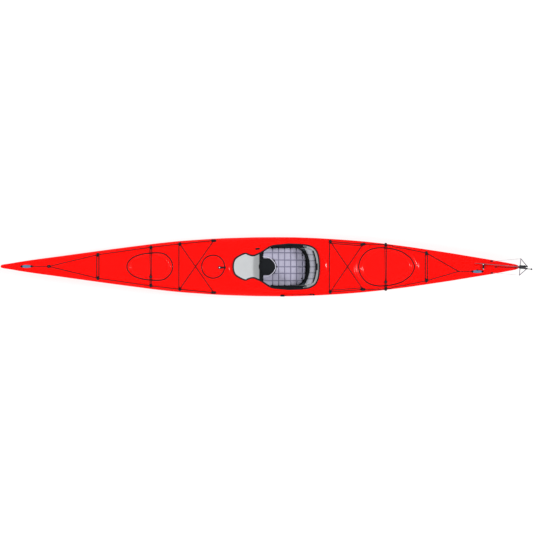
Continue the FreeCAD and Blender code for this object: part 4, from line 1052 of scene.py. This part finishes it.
@dataclass
class Coaming:
    """Black cockpit rim: an upright wall, a rounded lip on it and a flange under the deck."""

    form: HullForm
    height: float = 0.022
    lip: float = 0.0145
    thick: float = 0.0045
    wall: float = 0.005
    flange: float = 0.017
    flange_top: float = 0.0004
    flange_foot: float = 0.0043
    inner_share: float = 0.6

    def build(self) -> Object:
        """Carry the rim's profile (inset from the outline, height over the deck) round it."""
        turn = np.linspace(-np.pi / 2, np.pi / 2, 7)
        r = self.thick / 2
        outer = [(r - r * math.cos(t), self.height - r + r * math.sin(t)) for t in turn]
        s = r * self.inner_share
        inner = [(self.lip - s + s * math.cos(t), self.height - s + s * math.sin(t))
                 for t in turn[::-1][:4]]
        top = -self.form.wall - self.flange_top
        foot = -self.form.wall - self.flange_foot
        profile = outer + inner + [
            (self.lip, foot), (-self.flange, foot), (-self.flange, top),
            (self.lip - self.wall, top), (self.lip - self.wall, self.height - self.thick)]
        made = self.form.edging("cockpit_rim", self.form.cockpit, profile, NYLON_BLACK)
        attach(made, "boat")
        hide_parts("cockpit_coaming")
        return made


@dataclass
class Hatch:
    """One hatch: its domed cover with a raised ring, and the soft gasket under its edge.

    shares are the cover's rows of points as shares of its rim, close together at the ring;
    seal is the gasket's section, each corner by its inset and its height over the deck."""

    form: HullForm
    outline: Outline
    label: str
    gap: float = 0.011
    proud: float = 0.002
    under: float = 0.0015
    edge: float = 0.003
    dome: float = 0.003
    ring_share: float = 0.9
    ring_spread: float = 0.022
    ring_height: float = 0.0045
    shares: tuple = (*np.linspace(0.985, 0.78, 16), 0.7, 0.55, 0.4, 0.25, 0.1)
    under_share: float = 0.3
    seal: tuple = ((0.0003, -0.0075), (0.0003, -0.0034), (0.002, -0.0026), (0.014, -0.0026),
                   (0.018, -0.0036), (0.018, -0.0075))

    def build(self) -> list[Object]:
        """Make cover and gasket and return both."""
        middle = self.outline.middle()
        rim = self.outline.loop(self.gap + self.edge)
        turn = np.linspace(0, np.pi / 2, 6)
        rows = [(self.gap, -self.under)]
        rows += [(self.gap + self.edge * (1 - math.cos(t)),
                  self.proud - self.edge + self.edge * math.sin(t)) for t in turn]
        plans = [self.outline.loop(inset) for inset, _ in rows]
        lifts = [lift for _, lift in rows]
        for share in self.shares:
            plans.append(middle + (rim - middle) * share)
            band = math.exp(-((share - self.ring_share) / self.ring_spread) ** 2)
            lifts.append(self.proud + self.dome * (1 - share ** 2) + self.ring_height * band)
        plans.insert(0, middle + (plans[0] - middle) * self.under_share)
        lifts.insert(0, -self.under)
        plan = np.stack(plans)
        height = self.form.deck(plan[..., 0], plan[..., 1]) + np.array(lifts)[:, None]
        cover = closed_grid(self.label + "_cover", np.concatenate([plan, height[..., None]], -1),
                            COVER_RED, 50.0)
        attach(cover, self.label)
        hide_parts(self.label + "_cover")
        gasket = self.form.edging(self.label + "_seal", self.outline, self.seal, RUBBER_BLACK)
        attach(gasket, "boat")
        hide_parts(self.label + "_gasket")
        return [cover, gasket]


class Pattern(Enum):
    """How a deck fitting is shaped: its length, width and height."""

    SHORT = (0.038, 0.029, 0.013)
    LONG = (0.050, 0.027, 0.013)
    SLOT = (0.044, 0.020, 0.007)


# Pairs of fittings: share of the length, share of the half beam, shape
FORE_PAIRS = ((0.1878, 0.745, Pattern.SHORT), (0.29, 0.845, Pattern.SHORT),
              (0.3459, 0.872, Pattern.SHORT), (0.4112, 0.918, Pattern.LONG))
AFT_PAIRS = ((0.6363, 0.898, Pattern.SHORT), (0.6995, 0.884, Pattern.LONG),
             (0.7434, 0.95, Pattern.SHORT), (0.822, 0.78, Pattern.SHORT))
# The round eye near the bow, as a share of the length
EYE_SHARE = 0.0935


@dataclass
class DeckFittings:
    """Moulded nylon line guides on both sides of the deck, the eye near the bow and the
    slotted fitting by the cockpit. A foot is given by its lower and upper level and its
    rounding, a saddle by its radius, how far it is sunk and how far it rises."""

    form: HullForm
    level: float = 0.0012
    edge_share: float = 0.33
    waist: float = 0.92
    flare: float = 0.04
    crown: float = 0.08
    foot: tuple[float, float, float] = (-0.0012, 0.0016, 0.0008)
    foot_longer: float = 0.002
    saddle: tuple[float, float, float] = (0.0032, 0.0035, 0.004)
    saddle_share: float = 0.42
    slot: tuple[float, float, float] = (0.4958, 0.178, math.radians(8))
    eye: tuple = (("bow_eye", 0.0118, 0.0047, 0.006, 0.0062, NYLON_BLACK),
                  ("bow_eye_ferrule", 0.0062, 0.0012, 0.0052, 0.0064, STEEL))

    def guide(self, name: str, x: float, y: float, pattern: Pattern,
              turn: float) -> list[Object]:
        """Rounded nylon pad on a thin rubber foot, with a waisted saddle for the line.

        Args:
            name: The pieces' name.
            x: Place along the boat.
            y: Place across it.
            pattern: Its shape.
            turn: Its turn in plan, in radians.

        Returns:
            The pieces.
        """
        length, width, high = pattern.value
        put_down = self.form.placer(x, y, turn)
        edge = min(width, high) * self.edge_share
        made = [plate(name, stadium(length, width * self.waist), self.level, high, edge,
                      NYLON_BLACK, put_down, high * self.crown, width * self.flare),
                plate(name + "_foot", stadium(length + self.foot_longer, width), *self.foot,
                      RUBBER_BLACK, put_down)]
        if pattern is not Pattern.SLOT:
            radius, sunk, rise = self.saddle
            bridge = np.linspace(-1, 1, 15)
            path = np.c_[0.0 * bridge, bridge * width * self.saddle_share,
                         high - sunk + rise * (1 - bridge ** 2)]
            made.append(tube(name + "_saddle", [put_down(path)], radius, NYLON_BLACK))
        return made

    def build(self) -> list[Object]:
        """Make every fitting and return all pieces."""
        made = []
        for label, places in (("foredeck", FORE_PAIRS), ("aftdeck", AFT_PAIRS)):
            group = []
            for number, (share, across, pattern) in enumerate(places):
                for side, word in SIDES:
                    spot = self.form.pair(share, across, side)
                    turn = math.pi / 2 if pattern is Pattern.SHORT else 0.0
                    group += self.guide(f"{label}_guide_{number}_{word}", spot[0], spot[1],
                                        pattern, turn)
            for one in group:
                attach(one, "boat")
            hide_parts(label + "_fittings")
            made += group
        eye = self.build_eye()
        share, across, turn = self.slot
        slot = self.guide("leash_slot", self.form.at(share), across, Pattern.SLOT, turn)
        for one in eye + slot:
            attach(one, "boat")
        return made + eye + slot

    def build_eye(self) -> list[Object]:
        """Round eye near the bow: a turned ring with a steel ferrule in its bore, each given
        by its radius, the half width and half height of its section, and its level."""
        put_down = self.form.placer(self.form.at(EYE_SHARE), 0.0)
        turn, section = turns(48)[:, None], turns(16)
        made = []
        for name, middle, across, high, level, finish in self.eye:
            r = middle + across * np.cos(section)
            z = level + high * np.sin(section)
            ring = np.stack(np.broadcast_arrays(r * np.cos(turn), r * np.sin(turn), z), -1)
            placed = put_down(ring.reshape(-1, 3)).reshape(ring.shape)
            made.append(closed_ring(name, placed, finish))
        return made


@dataclass
class Lines:
    """Braided lines and bungees over the deck, with the knot near the stern."""

    form: HullForm
    radius: float = 0.0036
    lift: float = 0.007
    rest: float = 0.0045
    over: float = 0.011
    hump: float = 0.12
    beside: float = 0.017
    before: float = 0.009
    apart: float = 0.0115
    knot: tuple[float, float] = (0.8841, -0.044)
    knot_lift: float = 0.0085
    knot_size: tuple[float, float, float] = (0.0022, 0.0018, 0.0026)
    knot_radius: float = 0.0026

    def spot(self, place: tuple, side: int = 1, shift: float = 0.0) -> Array:
        """Place in plan of a pair's fitting, moved along the boat by shift."""
        return self.form.pair(place[0], place[1], side) + np.array([shift, 0.0])

    def along(self, places: Sequence[tuple]) -> list[Array]:
        """Paths from fitting to fitting on both sides."""
        return [self.form.run(self.spot(a, side), self.spot(b, side), self.lift)
                for side in (1, -1) for a, b in zip(places, places[1:])]

    def across(self, place: tuple, shift: float) -> Array:
        """Path straight across the deck beside a pair."""
        return self.form.run(self.spot(place, -1, shift), self.spot(place, 1, shift),
                             self.rest, 48)

    def crossed(self, front: tuple, back: tuple) -> list[Array]:
        """Two paths that cross on the centreline, one humped over the other."""
        paths = [self.form.run(self.spot(front, side), self.spot(back, -side), self.rest, 60)
                 for side in (1, -1)]
        t = np.linspace(-1, 1, 60)
        paths[1][:, 2] += (self.over - self.rest) * np.exp(-(t / self.hump) ** 2)
        return paths

    def bungees(self, front: tuple, back: tuple, end: tuple) -> list[Array]:
        """Paths of a cross between two pairs, of a cord just before its front pair, and of
        two cords beside a pair nearer the boat's end."""
        return self.crossed(front, back) + [self.across(front, -self.before),
                                            self.across(end, -self.apart),
                                            self.across(end, self.apart)]

    def build(self) -> list[Object]:
        """Make every line and return the pieces."""
        f = self.form
        eye = np.array([f.at(EYE_SHARE), 0.0])
        apex = np.array([f.at(self.knot[0]), self.knot[1]])
        bow, _, fore, fore_long = FORE_PAIRS
        aft, aft_long, _, stern = AFT_PAIRS
        fore_lines = [f.run(eye, self.spot(bow, side), self.lift) for side in (1, -1)]
        fore_lines += self.along(FORE_PAIRS)
        aft_lines = [f.run(self.spot(stern, side), apex, self.lift) for side in (1, -1)]
        aft_lines += self.along(AFT_PAIRS[1:])
        aft_bungees = self.bungees(aft, aft_long, stern) + self.along([aft, aft_long])
        aft_bungees += [f.run(self.spot(aft, side) - (0, side * self.beside),
                              self.spot(aft_long, side) - (0, side * self.beside),
                              self.rest) for side in (1, -1)]
        made = []
        for name, node, paths in (
                ("bow_perimeter_line", "foredeck_lines", fore_lines),
                ("stern_perimeter_line", "aftdeck_lines", aft_lines),
                ("fore_bungee", "foredeck_bungees", self.bungees(fore, fore_long, bow)),
                ("aft_bungee", "aftdeck_bungees", aft_bungees)):
            one = tube(name, paths, self.radius, CORD_DARK)
            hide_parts(node)
            made.append(one)
        made.append(self.tied(f.over(apex[0], apex[1], self.knot_lift)))
        for one in made:
            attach(one, "boat")
        return made

    def tied(self, centre: Array) -> Object:
        """Knot: a trefoil path, radius 2 + cos(3t) turned 2t, pulled small and tight."""
        t = np.linspace(0, 2 * np.pi, 90)
        reach = 2 + np.cos(3 * t)
        path = np.stack([reach * np.cos(2 * t), reach * np.sin(2 * t), np.sin(3 * t)], -1)
        return tube("stern_knot", [centre + path * self.knot_size], self.knot_radius,
                    CORD_DARK, 8)


def twin(name: str, node: Object, finish: Finish,
         keep: Callable[[Array], Array] | None = None) -> Object:
    """New piece with the form of a CAD node, for what bends or is dressed another way.

    Args:
        name: The object's name.
        node: The node.
        finish: Its finish.
        keep: Tells from the middles of the faces, (n, 3), which of them to take.

    Returns:
        The new object.
    """
    points, faces = mesh_of(node)
    if keep:
        middles = np.array([points[list(face)].mean(0) for face in faces])
        faces = [face for face, kept in zip(faces, keep(middles)) if kept]
    made = piece(name, points, faces, finish, 40.0)
    loose = bmesh.new()
    loose.from_mesh(made.data)
    bmesh.ops.delete(loose, geom=[v for v in loose.verts if not v.link_faces], context="VERTS")
    loose.to_mesh(made.data)
    loose.free()
    return made


@dataclass
class Cushion:
    """Padded cover over foam, blown up as cloth, with sewn channels pressed in after."""

    node: Object
    name: str
    body: str
    finish: Finish
    voxel: float = 0.005
    pressure: float = 4.0
    cap: float = 0.006
    fill: float = 0.8
    channels: tuple = ()
    width: float = 0.006
    depth: float = 0.007

    def build(self) -> Object:
        """Make the cushion; each channel is (axis, place) and is deepest on its line."""
        made = puffed(self.name, *mesh_of(self.node), self.voxel, self.pressure, self.cap)
        points = coordinates(made)
        sunk = np.zeros(len(points))
        for axis, place in self.channels:
            sunk = np.maximum(sunk, np.exp(-((points[:, axis] - place) / self.width) ** 2))
        put(made, points - coordinates(made, "normal") * (sunk * self.depth)[:, None])
        # The same mark, squared, darkens the cloth in the channels: partly the stitching's colour,
        # partly painted shade
        mark = made.data.attributes.new("sewn", "FLOAT", "POINT")
        mark.data.foreach_set("value", sunk ** 2)
        dress(made, self.finish)
        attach(made, self.body)
        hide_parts(self.node.name)
        return made


@dataclass
class Seat:
    """Quilted seat pad with a piped notch, hip pads, thigh pads and the padded back rest.

    sides holds what is there once a side: name, lower and upper corner, rounding, finish."""

    nodes: dict[str, Object]
    across: tuple = (0.059, 0.12, 0.181, 0.242, 0.303, 0.365)
    along: tuple = (0.13, 0.062, 0.0, -0.062, -0.13)
    stitches: tuple = (0.12, 0.06, 0.0, -0.06, -0.12)
    stitch_depth: float = 0.003
    band: float = 0.19
    overhang: float = 0.083
    overhang_from: float = 0.072
    overhang_over: float = 0.008
    piping: tuple = ((-0.034, 0.102), (-0.005, 0.1), (0.03, 0.089), (0.06, 0.067),
                     (0.083, 0.038), (0.097, 0.0))
    piping_radius: float = 0.0042
    piping_sunk: float = 0.35
    piping_reach: float = 0.008
    piping_floor: float = 0.083
    piping_smoothings: int = 12
    stud_radius: float = 0.0075
    stud_reach: float = 0.012
    stud_floor: float = 0.08
    stud_dome: tuple = ((1.0, -0.4), (1.0, 0.1), (0.8, 0.4), (0.4, 0.55), (0.1, 0.6))
    sides: tuple = (("seat_bolster_", (0.05, 0.187, 0.086), (0.385, 0.204, 0.141), 0.006,
                     RUBBER_BLACK),
                    ("hip_flap_", (0.366, 0.2105, 0.12), (0.412, 0.2255, 0.24), 0.004,
                     FOAM_GREY))
    pan_lip: tuple = ((0.388, -0.15, 0.034), (0.428, 0.15, 0.0475))
    studs: tuple = (("stud_starboard", 0.359, 0.116), ("stud_port", 0.354, -0.118),
                    ("notch_tab", 0.1, -0.001))

    def build(self) -> list[Object]:
        """Make every pad, box, stud and the piping, and return the pieces."""
        pad = Cushion(self.nodes["seat_pad"], "seat_cushion", "boat", SEAT_CLOTH,
                      channels=tuple((0, x) for x in self.across)
                      + tuple((1, y) for y in self.along)).build()
        points = coordinates(pad)
        rise = np.clip((points[:, 2] - self.overhang_from) / self.overhang_over, 0, 1)
        points[:, 1] *= 1 + self.overhang * rise
        put(pad, points)
        rest = Cushion(self.nodes["backrest_pad"], "back_cushion", "backrest", REST_CLOTH,
                       channels=tuple((1, y) for y in self.stitches) + ((2, self.band),),
                       depth=self.stitch_depth).build()
        firm = [self.build_piping(points)] + self.build_studs(points)
        for side, word in SIDES:
            for name, low, high, radius, finish in self.sides:
                near, far = sorted((side * low[1], side * high[1]))
                firm.append(soft_box(name + word, (low[0], near, low[2]),
                                     (high[0], far, high[2]), radius, finish))
        firm.append(soft_box("seat_pan_lip", *self.pan_lip, 0.004, NYLON_BLACK))
        for one in firm:
            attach(one, "boat")
        made = [pad, rest] + firm
        for node, name in (("hip_pads", "hip_cushions"), ("thigh_pads", "thigh_cushions")):
            made.append(Cushion(self.nodes[node], name, "boat", FOAM_GREY, voxel=0.006,
                                cap=0.003, fill=0.95).build())
        return made

    def build_studs(self, pad: Array) -> list[Object]:
        """Two snap studs near the rear corners and the tab that holds the notch's tip, set on
        the pad's points near them."""
        dome = np.array(self.stud_dome) * self.stud_radius
        made = []
        for name, x, y in self.studs:
            near = np.hypot(pad[:, 0] - x, pad[:, 1] - y) < self.stud_reach
            level = pad[near, 2].max(initial=self.stud_floor)
            made.append(revolve(name, dome, (x, y, level), NYLON_BLACK, 20))
        return made

    def build_piping(self, pad: Array) -> Object:
        """Piping round the notch, laid on the pad's points nearest to it in plan."""
        side = np.array(self.piping)
        line = np.vstack([side, side[-2::-1] * (1, -1)])
        t = np.linspace(0, len(line) - 1, 70)
        plan = np.stack([np.interp(t, np.arange(len(line)), line[:, k]) for k in (0, 1)], -1)
        for _ in range(self.piping_smoothings):
            plan[1:-1] = (plan[:-2] + 2 * plan[1:-1] + plan[2:]) / 4
        away = ((plan[:, None, :] - pad[None, :, :2]) ** 2).sum(-1)
        level = np.array([pad[near < self.piping_reach ** 2, 2].max(initial=self.piping_floor)
                          for near in away])
        path = np.c_[plan, level + self.piping_radius * self.piping_sunk]
        return tube("seat_piping", [path], self.piping_radius, PIPING)


@dataclass
class Toggle:
    """Carry toggle: an elastomer grip on a nylon core that shows as a cap at each end.

    dome is the rounded share of a cap, swell the grip's fullness in shares of the radius,
    flat the height as a share of the width; neck is (back from the cap, share of radius)."""

    form: HullForm
    node: str
    body: str
    length: float = 0.122
    radius: float = 0.0152
    cap: float = 0.016
    cap_share: float = 0.7
    neck: tuple = ((0.006, 0.5), (0.002, 0.72))
    dome: float = 0.6
    swell: tuple[float, float] = (0.35, 0.62)
    flat: float = 0.8
    nub: float = 0.0
    nub_radius: float = 0.007

    def build(self) -> list[Object]:
        """Make grip, caps and, where it has one, the small nub on its side."""
        low, high = (np.array(corner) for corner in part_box(self.node))
        middle = (low + high) / 2
        turn = self.form.placer(float(middle[0]), float(middle[1]))
        lift = middle[2] - float(self.form.deck(middle[:1], middle[1:2])[0])
        half = self.length / 2 - self.cap
        t = np.linspace(0, np.pi, 25)
        first, second = self.swell
        grip = np.stack([-half * np.cos(t), first * self.radius * np.sin(t) ** 0.5
                         + self.radius * second * np.sqrt(np.clip(np.sin(t), 0, 1))], -1)
        made = [self.turned(self.body + "_handle", grip, turn, lift, GRIP_BLUE)]
        t = np.linspace(0, np.pi / 2, 8)
        deep = self.cap * self.dome
        dome = np.stack([self.length / 2 - deep + deep * np.sin(t),
                         self.radius * self.cap_share * np.cos(t)], -1)
        neck = [(half - back, self.radius * share) for back, share in self.neck]
        cap = np.vstack([neck, dome])
        for side, word in ((-1, "front"), (1, "rear")):
            made.append(self.turned(f"{self.body}_cap_{word}", cap * (side, 1), turn, lift,
                                    NYLON_BLACK))
        if self.nub:
            t = np.linspace(0, np.pi, 12)
            ball = self.nub_radius * np.stack([-np.cos(t), np.sin(t)], -1)
            made.append(self.turned(self.body + "_nub", ball, turn, lift, NYLON_BLACK,
                                    self.nub))
        for one in made:
            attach(one, self.body)
        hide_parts(self.node)
        return made

    def turned(self, name: str, profile: Array, turn: Placer, lift: float, finish: Finish,
               side: float = 0.0) -> Object:
        """Carry a profile (along, radius) round the toggle's axis and set it on the deck."""
        angle = turns(28)
        ring = np.stack(np.broadcast_arrays(
            profile[:, :1], side + profile[:, 1:] * np.cos(angle),
            lift + self.flat * profile[:, 1:] * np.sin(angle)), -1)
        return closed_grid(name, turn(ring.reshape(-1, 3)).reshape(ring.shape), finish)


@dataclass
class BallHook:
    """Hook of a hatch's hold-down: a moulded ball with a light button in its top."""

    node: str
    body: str
    height: float = 0.92
    button: tuple = ((0.3, 0.85), (0.34, 0.92), (0.3, 0.97), (0.1, 0.98))

    def build(self) -> list[Object]:
        """Make ball and button inside the box of the hook's node, as shares of its radius."""
        low, high = (np.array(corner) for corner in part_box(self.node))
        middle, r = (low + high) / 2, (high[0] - low[0]) / 2
        t = np.linspace(-np.pi / 2, np.pi / 2, 20)
        ball = np.stack([r * np.cos(t), self.height * r * np.sin(t)], -1)
        button = np.array(self.button) * r
        made = [revolve(self.body + "_ball", ball, middle, NYLON_BLACK),
                revolve(self.body + "_button", button, middle, SLATE)]
        for one in made:
            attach(one, self.body)
        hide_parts(self.node)
        return made


@dataclass
class ScrewCaps:
    """Pale domed caps: one on the day latch's pivot, one on each end of the rudder's chock."""

    nodes: dict[str, Object]
    latch_radius: float = 0.0065
    chock_radius: float = 0.006
    knob: float = 0.015
    dome: tuple = ((1.0, -0.3), (1.0, 0.1), (0.85, 0.3), (0.5, 0.45), (0.1, 0.5))

    def cap(self, name: str, x: float, y: float, level: float, radius: float,
            body: str) -> Object:
        """One low turned dome that rides a body."""
        made = revolve(name, np.array(self.dome) * radius, (x, y, level), STEEL, 24)
        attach(made, body)
        return made

    def build(self) -> list[Object]:
        """Set the caps on the highest points below them and return them."""
        latch = coordinates(self.nodes["day_hatch_latch"])
        chock = coordinates(self.nodes["rudder_chock"])
        made = [self.cap("day_latch_cap", latch[:, 0].min() + self.knob,
                         latch[:, 1].min() + self.knob, latch[:, 2].max(),
                         self.latch_radius, "day_latch")]
        along = (chock[:, 0].min() + chock[:, 0].max()) / 2
        for word, across in (("port", chock[:, 1].min() + self.chock_radius),
                             ("starboard", chock[:, 1].max() - self.chock_radius)):
            near = np.abs(chock[:, 1] - across) < 2 * self.chock_radius
            made.append(self.cap("chock_cap_" + word, along, across, chock[near, 2].max(),
                                 self.chock_radius, "boat"))
        return made


@dataclass
class Rigging:
    """Cords, straps and cables that bend where something moves.

    laid holds those with one node each: node, finish, body, and where the bend starts and
    ends."""

    nodes: dict[str, Object]
    hook_side: float = 0.014
    laid: tuple = (
        ("bow_toggle_tether", CORD_PLAIN, "bow_grip", (-2.19, 0, 0.35), (-2.33, 0, 0.36)),
        ("stern_toggle_tether", CORD_PLAIN, "stern_grip", (1.93, -0.045, 0.295),
         (2.045, -0.045, 0.3)),
        ("backrest_straps", WEBBING, "backrest", (0.39, 0, 0.27), (0.39, 0, 0.1)),
        ("rudder_cables", STEEL, "rudder_mount", (2.3, 0, 0.3), (2.52, 0, 0.31)),
        ("lift_line_stern", CORD_PLAIN, "rudder_mount", (2.32, 0, 0.3), (2.52, 0, 0.305)))

    def build(self) -> list[Object]:
        """Make each as a new piece from its node."""
        made = []
        for body in ("bow_hatch", "stern_hatch"):
            low, high = (np.array(corner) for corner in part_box(body + "_hook"))
            x, y, z = (low + high) / 2
            node = self.nodes[body + "_cords"]
            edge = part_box(body + "_cords")
            for word, way, far in (("starboard", 1, edge[1][1]), ("port", -1, edge[0][1])):
                one = twin(f"{body}_cord_{word}", node, CORD_PLAIN,
                           lambda middles, y=y, way=way: (middles[:, 1] - y) * way > 0)
                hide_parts(body + "_cords")
                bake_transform(one)
                made.append(one)
        for node, finish, body, start, end in self.laid:
            one = twin(node + "_laid", self.nodes[node], finish)
            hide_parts(node)
            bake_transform(one)
            made.append(one)
        return made


FINISHES = (SHELL_RED, COVER_RED, INSIDE_GREY, NYLON_BLACK, RUBBER_BLACK, FOAM_GREY, SLATE,
            GRIP_BLUE, ALUMINIUM, STEEL, CORD_DARK, SEAT_CLOTH, REST_CLOTH, WEBBING)


def dress_nodes(nodes: dict[str, Object], slots: dict[str, str]) -> None:
    """Give every CAD node the finish of its record slot.

    Args:
        nodes: The frame's nodes by name.
        slots: Slot of each node.
    """
    by_slot = {finish.slot: finish for finish in FINISHES}
    own = {"fitting_screws": BLACKENED, "rudder_yoke": YOKE_GREY, "rudder_blade": BLADE_GREY}
    for name, node in nodes.items():
        finish = own.get(name, by_slot[slots[name]])
        for place in node.material_slots:
            place.material = finish.material()
        log.info("node %s: %s", name, slots[name])


@dataclass
class Studio:
    """White floor, soft even light, and a camera high over the boat."""

    height: float = 60.0
    picture: float = 5.335
    sensor: float = 36.0
    level: float = 0.23
    shift: tuple[float, float] = (0.0, 0.002)
    roll: float = 0.0013
    floor_size: float = 60.0
    world_level: float = 0.55
    paint: float = 0.9
    shade: float = 0.25
    glow: float = 0.76
    lamps: tuple = (((34.0, 4.0, 40.0), 1.9), ((-34.0, -8.0, 40.0), 1.5))
    lamp_width: float = math.radians(12)
    below: float = 0.0005

    def build(self) -> None:
        """Set up floor, world, lamps and camera."""
        scene = bpy.context.scene
        scene.view_settings.view_transform = "Standard"
        self.build_floor()
        self.build_world()
        for number, (spot, power) in enumerate(self.lamps):
            data = bpy.data.lights.new(f"soft_sun_{number}", "SUN")
            data.energy = power
            data.angle = self.lamp_width
            lamp = linked(f"soft_sun_{number}", data)
            lamp.location = spot
            lamp.rotation_euler = Vector(spot).to_track_quat("Z", "Y").to_euler()
        data = bpy.data.cameras.new("camera")
        data.sensor_width = self.sensor
        data.lens = self.sensor * (self.height - self.level) / self.picture
        data.clip_end = self.height * 3
        camera = linked("camera", data)
        camera.location = (*self.shift, self.height)
        camera.rotation_euler = (0.0, 0.0, self.roll)
        scene.camera = camera

    def build_floor(self) -> None:
        """White floor: it glows plainly for the camera and takes a little shadow."""
        half = self.floor_size / 2
        corners = np.array([(-half, -half, 0), (half, -half, 0), (half, half, 0),
                            (-half, half, 0)], float) - (0, 0, self.below)
        floor = piece("floor", corners, [(0, 1, 2, 3)], None, outward=False)
        made = bpy.data.materials.new("white_floor")
        tree = bare_tree(made)
        paint = add(tree, "BsdfDiffuse", {"Color": (*[self.paint] * 3, 1.0)})
        faint = add(tree, "BsdfDiffuse", {"Color": (*[self.shade] * 3, 1.0)})
        glow = add(tree, "Emission", {"Color": WHITE, "Strength": self.glow})
        both = add(tree, "AddShader", links={0: faint.outputs[0], 1: glow.outputs[0]})
        seen = add(tree, "LightPath").outputs["Is Camera Ray"]
        mix = add(tree, "MixShader", links={0: seen, 1: paint.outputs[0], 2: both.outputs[0]})
        add(tree, "OutputMaterial", links={"Surface": mix.outputs[0]})
        floor.data.materials.append(made)

    def build_world(self) -> None:
        """Plain light all round, white where the camera or a reflection sees it."""
        world = bpy.data.worlds.new("studio")
        tree = bare_tree(world)
        rays = add(tree, "LightPath")
        seen = joined(tree, "ADD", rays.outputs["Is Camera Ray"], rays.outputs["Is Glossy Ray"])
        every = joined(tree, "ADD", seen, rays.outputs["Is Transmission Ray"], clamp=True)
        level = add(tree, "MapRange", {"To Min": self.world_level, "To Max": 1.0},
                    {"Value": every})
        light = add(tree, "Background", {"Color": WHITE}, {"Strength": level.outputs[0]})
        add(tree, "OutputWorld", links={"Surface": light.outputs[0]})
        bpy.context.scene.world = world


def main() -> None:
    """Build every sub-assembly, dress what stays of the model, and set up the studio."""
    logging.basicConfig(level=logging.INFO, format="%(message)s")
    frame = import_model()
    slots = {part["node"]: part["material_slot"] for part in frame["record"]["subparts"]}
    dress_nodes(frame["nodes"], slots)
    form = HullForm()
    shell = Shell(form)
    made = [shell.build_hull(), shell.build_deck(), Coaming(form).build()]
    for label, outline in form.hatches.items():
        made += Hatch(form, outline, label).build()
    made += DeckFittings(form).build()
    made += Lines(form).build()
    made += Seat(frame["nodes"]).build()
    made += Toggle(form, "bow_toggle", "bow_grip").build()
    made += Toggle(form, "stern_toggle", "stern_grip", nub=0.017).build()
    made += BallHook("bow_hatch_hook", "bow_hatch").build()
    made += BallHook("stern_hatch_hook", "stern_hatch").build()
    made += ScrewCaps(frame["nodes"]).build()
    made += Rigging(frame["nodes"]).build()
    for one in made:
        log.info("%s: %d vertices", one.name, len(one.data.vertices))
    Studio().build()


if __name__ == "__main__":
    main()
